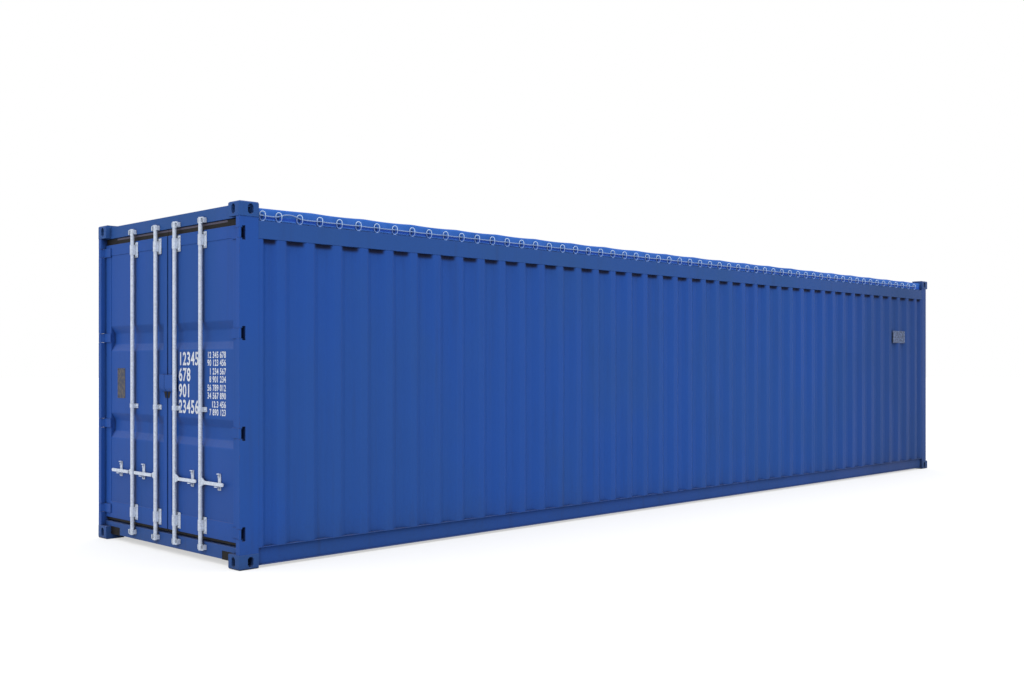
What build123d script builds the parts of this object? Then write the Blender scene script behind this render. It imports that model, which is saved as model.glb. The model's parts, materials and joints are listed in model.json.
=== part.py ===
"""Forty foot high cube container with an open top, a tarpaulin roof and two end doors.

Millimetres, +Z up, origin on the ground under the middle of the box.
X runs along the container with the doors at the low end, Y across it.
"""

from build123d import *
from math import cos, radians, sin
import os

os.makedirs("parts", exist_ok=True)

# Overall box
length = 12192.0
width = 2438.0
height = 2896.0

# Corner castings
casting_length = 178.0
casting_width = 162.0
casting_height = 118.0
casting_outer_wall = 32.0
casting_inner_wall = 12.0
casting_plate = 28.5
casting_chamfer = 9.0
aperture_from_end = 103.5
aperture_from_side = 89.5
aperture_length = 124.0
aperture_width = 63.5
eye_height = 79.5
eye_width = 51.0
eye_sides = 8

# Corner posts
post_setback = 4.0
rear_post_width = 52.0
front_post_end_setback = 47.0
front_post_width = 96.0
front_post_wall = 6.0

# Bottom frame
rail_bottom = 22.0
rail_height = 144.0
rail_sheet = 4.5
rail_web_setback = 36.0
rail_top_flange = 48.0
rail_top_flange_setback = 5.0
rail_foot_setback = 12.0
sill_bottom = 50.0
sill_height = 122.0
sill_depth = 82.0
sill_slope = 12.0
sill_notch = 175.0
member_bottom = 22.0
member_height = 120.0
member_flange = 45.0
member_sheet = 4.0
member_pitch = 305.0
first_member = 250.0
tunnel_length = 3150.0
tunnel_width = 1029.0
tunnel_sheet = 6.0
tunnel_plate = 4.0

# Floor
floor_thickness = 28.0
floor_side_gap = 2.0
floor_joint = 3.0
floor_rows = 5

# End frames and top rails
header_drop = 16.0
header_height = 107.0
frame_sheet = 5.0
front_frame_setback = 50.0
top_rail_edge_drop = 286.0
top_rail_shoulder_drop = 144.0
top_rail_drop = 66.0
top_rail_setback = 5.0
top_rail_depth = 100.0
top_tube_width = 60.0
top_rail_wall = 4.0

# Corrugated walls
sheet = 2.0
side_wall_setback = 8.0
side_corrugation_depth = 36.0
side_corrugation_count = 41
side_first_trough = 530.0
side_trough_flat = 70.0
side_slope = 68.0
end_trough_start = 218.0
end_trough_flat = 49.0
end_trough_slope = 45.0
front_wall_setback = 51.0
front_corrugation_depth = 45.6
front_corrugation_count = 8
front_corrugation_pitch = 250.0
front_trough_flat = 104.0
front_slope = 18.0

# Roof
bow_count = 21
bow_width = 40.0
bow_thickness = 25.0
bow_crown = 20.0
bow_shoulder = 420.0
bow_end_gap = 2.0
tarpaulin_thickness = 3.0
tarpaulin_clearance = 0.3
tarpaulin_tube_gap = 1.0
tarpaulin_end_gap = 4.0
tarpaulin_flap_gap = 3.0

# Lashing rings and rope along the top rails
ring_first = 47.0
ring_row_start = 200.0
ring_pitch = 200.0
ring_end_margin = 50.0
ring_wire = 9.0
ring_half_span = 22.0
ring_height = 86.0
ring_angle = 28.2
ring_setback = 23.0
rope_diameter = 8.0
rope_height = 38.0
rope_overrun = 30.0
rope_sides = 8

# Door hinges
hinge_setback = 13.0
hinge_count = 4
hinge_bottom_margin = 83.0
hinge_top_margin = 70.0
knuckle_radius = 11.0
knuckle_sides = 12
knuckle_height = 80.0
knuckle_end_gap = 1.5
pin_radius = 6.0
pin_reach = 15.0
pin_clearance = 0.3
pin_end_gap = 1.0
pin_sides = 8
hinge_recess_depth = 58.0
hinge_slot_gap = 5.0
hinge_slot_width = 34.0
hinge_slot_rise = 14.0
blade_thickness = 10.0
blade_length = 160.0
blade_crank_start = 28.0
blade_crank_run = 12.0
blade_crank_lead = 7.0

# Door leaves
door_face = 48.0
door_thickness = 50.0
door_side_gap = 10.0
door_centre_gap = 10.0
door_top_gap = 58.0
door_bottom_gap = 40.0
stile_width = 100.0
centre_stile_width = 60.0
door_top_rail = 100.0
door_bottom_rail = 150.0
panel_setback = 4.0
swage_depth = 36.0
swage_flat = 94.0
swage_slope = 68.0
swage_heights = (853.5, 1648.5)
seal_setback = 12.0
seal_thickness = 12.0
seal_side_lip = 5.0
seal_centre_lip = 7.0
seal_top_lip = 53.0
seal_bottom_lip = 22.0

# Lock bars
bar_radius = 17.0
bar_sides = 24
bar_setback = 24.0
outer_bar_from_centre = 590.0
inner_bar_from_centre = 165.0
bar_top_drop = 76.0
bar_bottom = 90.0
bar_clearance = 0.3
bore_sides = 12
bracket_width = 120.0
bracket_height = 136.0
bracket_plate = 4.0
bracket_strap = 3.7
bracket_strap_height = 90.0
bracket_top_margin = 12.0
bracket_bottom_margin = 26.0
guide_height = 40.0
guide_from_leaf_bottom = 1043.0
cam_length = 44.0
cam_short_length = 30.0
cam_thickness = 26.0
cam_tip_thickness = 14.0
cam_arm = 11.0
cam_height = 52.0

# Keepers on the header and the sill
keeper_clearance = 7.0
keeper_cheek = 8.0
keeper_height = 40.0
keeper_depth = 30.0

# Door handles
handle_from_leaf_bottom = 450.0
handle_length = 365.0
handle_thickness = 8.0
handle_width = 28.0
handle_corner = 8.0
handle_setback = 10.0
hub_reach = 62.0
hub_half_height = 45.0
hub_thickness = 10.0
hub_handle_gap = 2.0
handle_pin_radius = 5.0
handle_pin_sides = 12
handle_pin_head_radius = 9.0
handle_pin_head_sides = 6
handle_pin_head_gap = 0.5
handle_pin_head_thickness = 4.0
catch_reach = 258.0
catch_width = 40.0
catch_bottom_drop = 54.0
catch_top_rise = 83.0
catch_seat_gap = 5.0
catch_seat_thickness = 8.0
catch_seat_setback = 8.0
catch_ear_depth = 14.0
catch_ear_thickness = 8.0

# Plate over the seam between the doors
cover_bottom = 1181.0
cover_height = 144.0
cover_setback = 20.0
cover_slope_height = 29.0
cover_lip = 4.0
cover_right_width = 146.0
cover_overlap = 5.0
cover_gap = 5.0
cover_left_width = 84.0

# Places worked out from the sizes above
door_end = -length / 2
front_end = length / 2
side = width / 2
rail_start = door_end + casting_length
rail_end = front_end - casting_length
post_bottom = casting_height
post_top = height - casting_height
rail_top = rail_bottom + rail_height
sill_top = sill_bottom + sill_height
sill_lip = sill_top - sill_slope
floor_bottom = member_bottom + member_height
floor_top = floor_bottom + floor_thickness
header_top = height - header_drop
header_bottom = header_top - header_height
casting_inside = side - casting_width
rear_post_inside = side - post_setback - rear_post_width
front_post_inside = side - post_setback - front_post_width
rail_web_inside = side - rail_web_setback - rail_sheet
top_rail_edge = height - top_rail_edge_drop
top_rail_shoulder = height - top_rail_shoulder_drop
top_rail_top = height - top_rail_drop
top_rail_inside = side - top_rail_setback - top_rail_depth
top_tube_outside = top_rail_inside + top_tube_width
bow_edge_top = top_rail_top + bow_thickness
leaf_bottom = sill_lip + door_bottom_gap
leaf_top = header_bottom - door_top_gap
leaf_outer = rear_post_inside - door_side_gap
leaf_inner = door_centre_gap
leaf_face = door_end + door_face
bar_x = door_end + bar_setback
bar_top = height - bar_top_drop
bar_places = (outer_bar_from_centre, inner_bar_from_centre)
top_cam_low = bar_top - cam_height
hinge_x = door_end + hinge_setback
hinge_y = side - hinge_setback
hinge_low = leaf_bottom + hinge_bottom_margin
hinge_rise = leaf_top - hinge_top_margin - hinge_low
hinge_heights = [hinge_low + hinge_rise * i / (hinge_count - 1) for i in range(hinge_count)]
handle_height = leaf_bottom + handle_from_leaf_bottom
blade_face = door_face - hinge_setback
bracket_face = leaf_face - bracket_plate
panel_face = leaf_face + panel_setback


def span(x_low, x_high, y_low, y_high, mode=Mode.ADD):
    """A rectangle between two limits on each of the sketch's axes"""
    with Locations(((x_low + x_high) / 2, (y_low + y_high) / 2)):
        Rectangle(x_high - x_low, y_high - y_low, mode=mode)


def keep(part, name):
    """Name a finished sub-part and write its file"""
    part.label = name
    export_step(part, f"parts/{name}.step")


def mirrored(part):
    """The same piece on the other side of the container"""
    with BuildPart() as other:
        mirror(part, about=Plane.XZ)
    return other.part


def few_sided(radius, sides, mode=Mode.ADD):
    """A round section drawn with few flat sides, none of them nearer than the radius"""
    RegularPolygon(radius, sides, major_radius=False, rotation=180 / sides, mode=mode)


def eye(u, v):
    """An upright oval opening about a point of the sketch"""
    rise = (eye_height - eye_width) / 2
    with Locations((u, v - rise), (u, v + rise)):
        few_sided(eye_width / 2, eye_sides)
    with Locations((u, v)):
        Rectangle(eye_width, 2 * rise)


def bottom_castings():
    """Four hollow corner castings, open underneath, at the end and at the side"""
    x_low = door_end
    y_low = -side
    aperture_x = door_end + aperture_from_end
    aperture_y = -side + aperture_from_side
    with BuildPart() as castings:
        with BuildSketch():
            span(x_low, x_low + casting_length, y_low, y_low + casting_width)
        extrude(amount=casting_height)
        chamfer(castings.edges().filter_by(Axis.Z).sort_by(Axis.X)[:2].sort_by(Axis.Y)[0], casting_chamfer)
        with BuildSketch(Plane.XY.offset(casting_plate)):
            span(x_low + casting_outer_wall, x_low + casting_length - casting_inner_wall,
                 y_low + casting_outer_wall, y_low + casting_width - casting_inner_wall)
        extrude(amount=casting_height - casting_plate - casting_inner_wall, mode=Mode.SUBTRACT)
        with BuildSketch():
            with Locations((aperture_x, aperture_y)):
                SlotOverall(aperture_length, aperture_width)
        extrude(amount=casting_plate, mode=Mode.SUBTRACT)
        with BuildSketch(Plane.YZ.offset(x_low)):
            eye(aperture_y, casting_height / 2)
        extrude(amount=casting_outer_wall, mode=Mode.SUBTRACT)
        with BuildSketch(Plane.XZ.offset(side)):
            eye(aperture_x, casting_height / 2)
        extrude(amount=-casting_outer_wall, mode=Mode.SUBTRACT)
        mirror(about=Plane.XZ)
        mirror(about=Plane.YZ)
    return castings.part


def top_castings(lower):
    """The same four castings turned over at the top of the posts"""
    with BuildPart() as castings:
        mirror(lower, about=Plane.XY.offset(height / 2))
    return castings.part


def rear_posts():
    """Two door posts, each with a recess and a pair of pin holes for every hinge"""
    recess_height = knuckle_height + 2 * knuckle_end_gap
    slot_height = recess_height + 2 * hinge_slot_rise
    slot_front = hinge_x + knuckle_radius + hinge_slot_gap
    with BuildPart() as posts:
        with BuildSketch(Plane.XY.offset(post_bottom)):
            span(door_end + post_setback, rail_start, -side + post_setback, -rear_post_inside)
        extrude(amount=post_top - post_bottom)
        for z in hinge_heights:
            with BuildSketch(Plane.XY.offset(z - recess_height / 2)):
                span(door_end, door_end + hinge_recess_depth, -side, -rear_post_inside)
            extrude(amount=recess_height, mode=Mode.SUBTRACT)
            with BuildSketch(Plane.XY.offset(z - slot_height / 2)):
                span(slot_front, door_end + hinge_recess_depth, -side, -side + hinge_slot_width)
            extrude(amount=slot_height, mode=Mode.SUBTRACT)
            with BuildSketch(Plane.XY.offset(z - knuckle_height / 2 - pin_reach - pin_end_gap)):
                with Locations((hinge_x, -hinge_y)):
                    few_sided(pin_radius + pin_clearance, pin_sides)
            extrude(amount=knuckle_height + 2 * (pin_reach + pin_end_gap), mode=Mode.SUBTRACT)
        mirror(about=Plane.XZ)
    return posts.part


def front_posts():
    """Two hollow posts at the closed end"""
    x_low = rail_end
    x_high = front_end - front_post_end_setback
    with BuildPart() as posts:
        with BuildSketch(Plane.XY.offset(post_bottom)):
            span(x_low, x_high, -side + post_setback, -front_post_inside)
            span(x_low + front_post_wall, x_high - front_post_wall,
                 -side + post_setback + front_post_wall, -front_post_inside - front_post_wall,
                 mode=Mode.SUBTRACT)
        extrude(amount=post_top - post_bottom)
        mirror(about=Plane.XZ)
    return posts.part


def door_header():
    """The hollow beam over the doors, between the top castings and down to the post tops"""
    with BuildPart() as header:
        with BuildSketch(Plane.YZ.offset(leaf_face)):
            span(-rear_post_inside, rear_post_inside, header_bottom, post_top)
            span(-casting_inside, casting_inside, post_top, header_top)
        extrude(amount=rail_start - leaf_face)
        with BuildSketch(Plane.YZ.offset(leaf_face + frame_sheet)):
            span(-casting_inside, casting_inside, header_bottom + frame_sheet, header_top - frame_sheet)
        extrude(amount=rail_start - leaf_face - 2 * frame_sheet, mode=Mode.SUBTRACT)
    return header.part


def door_sill():
    """A channel under the doors, its top sloped to drain, notched beside the bottom castings"""
    lower_half = casting_inside - sill_notch
    back = leaf_face + sill_depth
    inner = leaf_face + frame_sheet
    section = [
        (leaf_face, sill_bottom), (back, sill_bottom), (back, sill_bottom + frame_sheet),
        (inner, sill_bottom + frame_sheet), (inner, sill_lip - frame_sheet),
        (back, sill_top - frame_sheet), (back, sill_top), (leaf_face, sill_lip),
    ]
    with BuildPart() as sill:
        with BuildSketch(Plane.XZ.offset(-rear_post_inside)):
            with BuildLine():
                Polyline(*section, close=True)
            make_face()
        extrude(amount=2 * rear_post_inside)
        with BuildSketch(Plane.YZ.offset(leaf_face)):
            span(-rear_post_inside, -lower_half, sill_bottom, casting_height)
            span(lower_half, rear_post_inside, sill_bottom, casting_height)
        extrude(amount=sill_depth, mode=Mode.SUBTRACT)
    return sill.part


def front_top_rail():
    """The hollow beam over the closed end"""
    with BuildPart() as rail:
        with BuildSketch(Plane.YZ.offset(rail_end)):
            span(-front_post_inside, front_post_inside, header_bottom, post_top)
            span(-casting_inside, casting_inside, post_top, header_top)
        extrude(amount=casting_length - front_frame_setback)
        with BuildSketch(Plane.YZ.offset(rail_end + frame_sheet)):
            span(-casting_inside, casting_inside, header_bottom + frame_sheet, header_top - frame_sheet)
        extrude(amount=casting_length - front_frame_setback - 2 * frame_sheet, mode=Mode.SUBTRACT)
    return rail.part


def front_bottom_rail():
    """The beam under the closed end, arched over the gooseneck tunnel"""
    with BuildPart() as rail:
        with BuildSketch(Plane.YZ.offset(rail_end)):
            span(-front_post_inside, front_post_inside, casting_height, floor_top)
            span(-casting_inside, casting_inside, rail_bottom, casting_height)
            span(-tunnel_width / 2, tunnel_width / 2, rail_bottom, floor_bottom - tunnel_plate,
                 mode=Mode.SUBTRACT)
        extrude(amount=casting_length - front_frame_setback)
    return rail.part


def bottom_side_rail():
    """A pressed rail whose top flange carries the wall and overhangs a set back web"""
    flange_outside = -side + rail_top_flange_setback
    web_outside = -side + rail_web_setback
    web_inside = -rail_web_inside
    with BuildPart() as rail:
        with BuildSketch(Plane.YZ.offset(rail_start)):
            span(web_outside, web_inside, rail_bottom, rail_top)
            span(flange_outside, flange_outside + rail_top_flange, rail_top - rail_sheet, rail_top)
            span(-side + rail_foot_setback, web_inside, rail_bottom, rail_bottom + rail_sheet)
        extrude(amount=rail_end - rail_start)
    return rail.part


def top_side_rail():
    """A deep rail with a shoulder for the lashing rings and a tube set back above it"""
    outside = -side + top_rail_setback
    with BuildPart() as rail:
        with BuildSketch(Plane.YZ.offset(rail_start)):
            span(outside, -top_rail_inside, top_rail_edge, top_rail_shoulder)
            span(-top_tube_outside, -top_rail_inside, top_rail_shoulder, top_rail_top)
            span(outside + top_rail_wall, -top_rail_inside - top_rail_wall,
                 top_rail_edge + top_rail_wall, top_rail_shoulder - top_rail_wall, mode=Mode.SUBTRACT)
            span(-top_tube_outside + top_rail_wall, -top_rail_inside - top_rail_wall,
                 top_rail_shoulder - top_rail_wall, top_rail_top - top_rail_wall, mode=Mode.SUBTRACT)
        extrude(amount=rail_end - rail_start)
    return rail.part


def trough(centre, flat, slope):
    """The four corners of one trough: place along the wall, and whether it is set in"""
    half = flat / 2
    return [(centre - half - slope, 0), (centre - half, 1), (centre + half, 1), (centre + half + slope, 0)]


def side_wall():
    """Corrugated sheet between the side rails, with a narrow trough beside each post"""
    end_centre = end_trough_start + end_trough_slope + end_trough_flat / 2
    pitch = (length - 2 * side_first_trough) / (side_corrugation_count - 1)
    corners = [(casting_length, 0)]
    corners += trough(end_centre, end_trough_flat, end_trough_slope)
    for i in range(side_corrugation_count):
        corners += trough(side_first_trough + pitch * i, side_trough_flat, side_slope)
    corners += trough(length - end_centre, end_trough_flat, end_trough_slope)
    corners += [(length - casting_length, 0)]
    crest = -side + side_wall_setback
    outer = [(door_end + a, crest + side_corrugation_depth * inset) for a, inset in corners]
    inner = [(x, y + sheet) for x, y in outer]
    with BuildPart() as wall:
        with BuildSketch(Plane.XY.offset(rail_top)):
            with BuildLine():
                Polyline(*outer, *reversed(inner), close=True)
            make_face()
        extrude(amount=top_rail_edge - rail_top)
    return wall.part


def front_wall():
    """Deeper corrugated sheet across the closed end"""
    crest = front_end - front_wall_setback
    corners = [(-front_post_inside, 0)]
    for i in range(front_corrugation_count):
        centre = front_corrugation_pitch * (i - (front_corrugation_count - 1) / 2)
        corners += trough(centre, front_trough_flat, front_slope)
    corners += [(front_post_inside, 0)]
    outer = [(crest - front_corrugation_depth * inset, y) for y, inset in corners]
    inner = [(x - sheet, y) for x, y in outer]
    with BuildPart() as wall:
        with BuildSketch(Plane.XY.offset(floor_top)):
            with BuildLine():
                Polyline(*outer, *reversed(inner), close=True)
            make_face()
        extrude(amount=header_bottom - floor_top)
    return wall.part


def cross_members():
    """Channels across the bottom frame, cut short beside the gooseneck tunnel"""
    tunnel_start = rail_end - tunnel_length
    last = rail_end - member_flange
    places = []
    x = door_end + first_member
    while x < last:
        places.append(x)
        x += member_pitch
    full = [x for x in places if x + member_flange < tunnel_start]
    short = [x for x in places if x > tunnel_start + tunnel_sheet]
    beam = tunnel_width / 2 + tunnel_sheet
    with BuildPart() as members:
        with BuildSketch(Plane.XZ.offset(-rail_web_inside)):
            for x in full:
                channel(x)
        extrude(amount=2 * rail_web_inside)
        with BuildSketch(Plane.XZ.offset(-rail_web_inside)):
            for x in short:
                channel(x)
        extrude(amount=rail_web_inside - beam)
        with BuildSketch(Plane.XZ.offset(beam)):
            for x in short:
                channel(x)
        extrude(amount=rail_web_inside - beam)
    return members.part


def channel(x):
    """Section of one cross member"""
    span(x, x + member_sheet, member_bottom, floor_bottom)
    span(x, x + member_flange, member_bottom, member_bottom + member_sheet)
    span(x, x + member_flange, floor_bottom - member_sheet, floor_bottom)


def gooseneck_tunnel():
    """The recess under the closed end that a trailer neck runs up into"""
    x_high = rail_end
    x_low = rail_end - tunnel_length
    half = tunnel_width / 2
    with BuildPart() as tunnel:
        with BuildSketch(Plane.XY.offset(member_bottom)):
            for y in (-half - tunnel_sheet, half):
                span(x_low, x_high, y, y + tunnel_sheet)
            span(x_low, x_low + tunnel_sheet, -half, half)
        extrude(amount=member_height)
        with BuildSketch(Plane.XY.offset(floor_bottom - tunnel_plate)):
            span(x_low, x_high, -half, half)
        extrude(amount=tunnel_plate)
    return tunnel.part


def floor_boards():
    """Plywood boards in two columns, with open joints between them"""
    x_low = leaf_face + sill_depth + floor_side_gap
    x_high = rail_end - floor_side_gap
    half = rear_post_inside - floor_side_gap
    board_length = (x_high - x_low - floor_joint * (floor_rows - 1)) / floor_rows
    board_width = half - floor_joint / 2
    with BuildPart() as boards:
        with BuildSketch(Plane.XY.offset(floor_bottom)):
            with Locations(((x_low + x_high) / 2, 0)):
                with GridLocations(board_length + floor_joint, board_width + floor_joint, floor_rows, 2):
                    Rectangle(board_length, board_width)
        extrude(amount=floor_thickness)
    return boards.part


def roof_bows():
    """Bows across the open top, level in the middle, with flat feet on the top rails"""
    end = top_tube_outside - bow_end_gap
    foot = top_rail_inside
    pitch = (rail_end - rail_start) / (bow_count + 1)
    with BuildPart() as bows:
        for i in range(bow_count):
            with BuildSketch(Plane.YZ.offset(rail_start + pitch * (i + 1) - bow_width / 2)):
                with BuildLine():
                    Polyline((-foot, top_rail_top), (-end, top_rail_top), (-end, bow_edge_top),
                             (-bow_shoulder, bow_edge_top + bow_crown), (bow_shoulder, bow_edge_top + bow_crown),
                             (end, bow_edge_top), (end, top_rail_top), (foot, top_rail_top),
                             (bow_shoulder, top_rail_top + bow_crown), (-bow_shoulder, top_rail_top + bow_crown),
                             close=True)
                make_face()
            extrude(amount=bow_width)
    return bows.part


def tarpaulin():
    """The roof sheet over the bows, with a flap down each side"""
    inner = top_tube_outside + tarpaulin_tube_gap
    outer = inner + tarpaulin_thickness
    inner_edge = bow_edge_top + tarpaulin_clearance
    outer_edge = inner_edge + tarpaulin_thickness
    hem = top_rail_shoulder + tarpaulin_flap_gap
    with BuildPart() as cover:
        with BuildSketch(Plane.YZ.offset(rail_start + tarpaulin_end_gap)):
            with BuildLine():
                Polyline((-outer, hem), (-outer, outer_edge), (-bow_shoulder, outer_edge + bow_crown),
                         (bow_shoulder, outer_edge + bow_crown), (outer, outer_edge), (outer, hem),
                         (inner, hem), (inner, inner_edge), (bow_shoulder, inner_edge + bow_crown),
                         (-bow_shoulder, inner_edge + bow_crown), (-inner, inner_edge), (-inner, hem),
                         close=True)
            make_face()
        extrude(amount=rail_end - rail_start - 2 * tarpaulin_end_gap)
    return cover.part


def ring_places():
    """Middle of each lashing ring along the rail: one beside the door post, then an even row"""
    places = [rail_start + ring_first]
    x = rail_start + ring_row_start
    while x < rail_end - ring_end_margin:
        places.append(x)
        x += ring_pitch
    return places


def lashing_rings():
    """Steel loops standing on the rail's shoulder, turned so that the rope threads them"""
    inner = ring_half_span - ring_wire / 2
    outer = ring_half_span + ring_wire / 2
    with BuildPart() as rings:
        for x in ring_places():
            loop = Plane(
                origin=(x, -side + ring_setback, top_rail_shoulder),
                x_dir=(cos(radians(ring_angle)), -sin(radians(ring_angle)), 0),
                z_dir=(-sin(radians(ring_angle)), -cos(radians(ring_angle)), 0),
            )
            with BuildSketch(loop):
                with BuildLine():
                    Polyline((-outer, 0), (-outer, ring_height), (outer, ring_height), (outer, 0), (inner, 0),
                             (inner, ring_height - ring_wire), (-inner, ring_height - ring_wire), (-inner, 0),
                             close=True)
                make_face()
            extrude(amount=ring_wire / 2, both=True)
    return rings.part


def tarpaulin_rope():
    """The rope that runs through every ring along one side"""
    places = ring_places()
    start = places[0] - rope_overrun
    with BuildPart() as rope:
        with BuildSketch(Plane.YZ.offset(start)):
            with Locations((-side + ring_setback, top_rail_shoulder + rope_height)):
                RegularPolygon(rope_diameter / 2, rope_sides)
        extrude(amount=places[-1] + rope_overrun - start)
    return rope.part


def keepers(cam_low):
    """Plates with a cheek at each side that stop the cams from moving sideways"""
    low = cam_low + (cam_height - keeper_height) / 2
    near = bar_radius + keeper_clearance + keeper_cheek
    far = cam_length + keeper_clearance + keeper_cheek
    with BuildPart() as row:
        with BuildSketch(Plane.XY.offset(low)):
            for way, places in ((-1, [-place for place in bar_places]), (1, bar_places)):
                for y in places:
                    ends = sorted((y - way * near, y + way * far))
                    span(bracket_face, leaf_face, *ends)
                    for inside, outside in ((ends[0], ends[0] + keeper_cheek), (ends[1] - keeper_cheek, ends[1])):
                        span(bracket_face - keeper_depth, bracket_face, inside, outside)
        extrude(amount=keeper_height)
    return row.part


def door_frame():
    """Welded rectangular frame of one leaf"""
    with BuildPart() as frame:
        with BuildSketch(Plane.YZ.offset(leaf_face)):
            span(-leaf_outer, -leaf_inner, leaf_bottom, leaf_top)
            span(-leaf_outer + stile_width, -leaf_inner - centre_stile_width,
                 leaf_bottom + door_bottom_rail, leaf_top - door_top_rail, mode=Mode.SUBTRACT)
        extrude(amount=door_thickness)
    return frame.part


def door_panel():
    """Pressed sheet inside the frame, with two swages across it"""
    corners = [(panel_face, leaf_bottom + door_bottom_rail)]
    for rise in swage_heights:
        for z, inset in trough(leaf_bottom + rise, swage_flat, swage_slope):
            corners.append((panel_face + swage_depth * inset, z))
    corners.append((panel_face, leaf_top - door_top_rail))
    inner = [(x + sheet, z) for x, z in corners]
    panel_low = leaf_inner + centre_stile_width
    with BuildPart() as panel:
        with BuildSketch(Plane.XZ.offset(panel_low)):
            with BuildLine():
                Polyline(*corners, *reversed(inner), close=True)
            make_face()
        extrude(amount=leaf_outer - stile_width - panel_low)
    return panel.part


def door_seal():
    """Rubber lip all round the leaf's edge"""
    with BuildPart() as seal:
        with BuildSketch(Plane.YZ.offset(leaf_face + seal_setback)):
            span(-leaf_outer - seal_side_lip, -leaf_inner + seal_centre_lip,
                 leaf_bottom - seal_bottom_lip, leaf_top + seal_top_lip)
            span(-leaf_outer, -leaf_inner, leaf_bottom, leaf_top, mode=Mode.SUBTRACT)
        extrude(amount=seal_thickness)
    return seal.part


def door_hinges():
    """Cranked blades welded to the leaf, each with its knuckle and pin"""
    half = blade_thickness / 2
    crank_end = blade_crank_start + blade_crank_run
    blade = [
        (0, -half),
        (blade_crank_start, -half),
        (crank_end, blade_face - blade_thickness),
        (blade_length, blade_face - blade_thickness),
        (blade_length, blade_face),
        (crank_end - blade_crank_lead, blade_face),
        (blade_crank_start - blade_crank_lead, half),
        (0, half),
    ]
    with BuildPart() as hinges:
        for z in hinge_heights:
            with BuildSketch(Plane.XY.offset(z - knuckle_height / 2)):
                with BuildLine():
                    Polyline(*[(hinge_x + v, -hinge_y + u) for u, v in blade], close=True)
                make_face()
                with Locations((hinge_x, -hinge_y)):
                    RegularPolygon(knuckle_radius, knuckle_sides)
            extrude(amount=knuckle_height)
            with BuildSketch(Plane.XY.offset(z - knuckle_height / 2 - pin_reach)):
                with Locations((hinge_x, -hinge_y)):
                    RegularPolygon(pin_radius, pin_sides)
            extrude(amount=knuckle_height + 2 * pin_reach)
    return hinges.part


def bar_brackets():
    """Bearing plates and guides that hold both lock bars of one leaf"""
    top_bracket = leaf_top - bracket_top_margin - bracket_height
    bottom_bracket = leaf_bottom + bracket_bottom_margin
    guide = leaf_bottom + guide_from_leaf_bottom - guide_height / 2
    strap_inset = (bracket_height - bracket_strap_height) / 2
    with BuildPart() as brackets:
        for y in (-place for place in bar_places):
            for z, plate, inset, seat in (
                (top_bracket, bracket_height, strap_inset, leaf_face),
                (bottom_bracket, bracket_height, strap_inset, leaf_face),
                (guide, guide_height, 0, panel_face),
            ):
                with BuildSketch(Plane.XY.offset(z)):
                    span(bracket_face, seat, y - bracket_width / 2, y + bracket_width / 2)
                extrude(amount=plate)
                with BuildSketch(Plane.XY.offset(z + inset)):
                    strap = bar_radius + bar_clearance + bracket_strap
                    span(bar_x, bracket_face, y - strap, y + strap)
                    with Locations((bar_x, y)):
                        few_sided(strap, bore_sides)
                        few_sided(bar_radius + bar_clearance, bore_sides, mode=Mode.SUBTRACT)
                extrude(amount=plate - 2 * inset)
    return brackets.part


def cam_arm_outline(y, reach):
    """Plan of one arm of a cam, from the bar's middle to its tapered tip"""
    root = cam_thickness / 2
    tip = cam_tip_thickness / 2
    Polyline((bar_x - root, y), (bar_x - tip, y - reach), (bar_x + tip, y - reach), (bar_x + root, y), close=True)


def lock_bar(y):
    """One lock bar with a two armed cam at each end and the hub that carries its handle"""
    pin_front = door_end + handle_setback - handle_pin_head_gap - handle_pin_head_thickness
    hub_x = door_end + handle_setback + handle_thickness + hub_handle_gap
    hub_y = y - hub_reach
    with BuildPart() as bar:
        with BuildSketch(Plane.XY.offset(bar_bottom)):
            with Locations((bar_x, y)):
                RegularPolygon(bar_radius, bar_sides)
        extrude(amount=bar_top - bar_bottom)
        for low, reach in (
            (bar_bottom, cam_length),
            (bar_bottom + cam_height - cam_arm, cam_short_length),
            (top_cam_low, cam_short_length),
            (bar_top - cam_arm, cam_length),
        ):
            with BuildSketch(Plane.XY.offset(low)):
                with BuildLine():
                    cam_arm_outline(y, reach)
                make_face()
            extrude(amount=cam_arm)
        with BuildSketch(Plane.YZ.offset(hub_x)):
            with BuildLine():
                Polyline((y, handle_height - hub_half_height), (y, handle_height + hub_half_height),
                         (hub_y, handle_height + handle_width / 2),
                         (hub_y, handle_height - handle_width / 2), close=True)
            make_face()
            with Locations((hub_y, handle_height)):
                Circle(handle_width / 2)
        extrude(amount=hub_thickness)
        with BuildSketch(Plane.YZ.offset(pin_front)):
            with Locations((hub_y, handle_height)):
                RegularPolygon(handle_pin_radius, handle_pin_sides)
        extrude(amount=hub_x - pin_front)
        with BuildSketch(Plane.YZ.offset(pin_front)):
            with Locations((hub_y, handle_height)):
                RegularPolygon(handle_pin_head_radius, handle_pin_head_sides)
        extrude(amount=handle_pin_head_thickness)
    return bar.part


def handle(y):
    """One flat handle that lifts on the hub's pin"""
    hub_y = y - hub_reach
    tip_y = y - handle_length
    with BuildPart() as lever:
        with BuildSketch(Plane.YZ.offset(door_end + handle_setback)) as outline:
            with Locations(((hub_y + tip_y) / 2, handle_height)):
                Rectangle(hub_y - tip_y + handle_width / 2, handle_width)
            chamfer(outline.vertices(), handle_corner)
            with Locations((hub_y, handle_height)):
                few_sided(handle_pin_radius + pin_clearance, handle_pin_sides, mode=Mode.SUBTRACT)
        extrude(amount=handle_thickness)
    return lever.part


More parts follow.
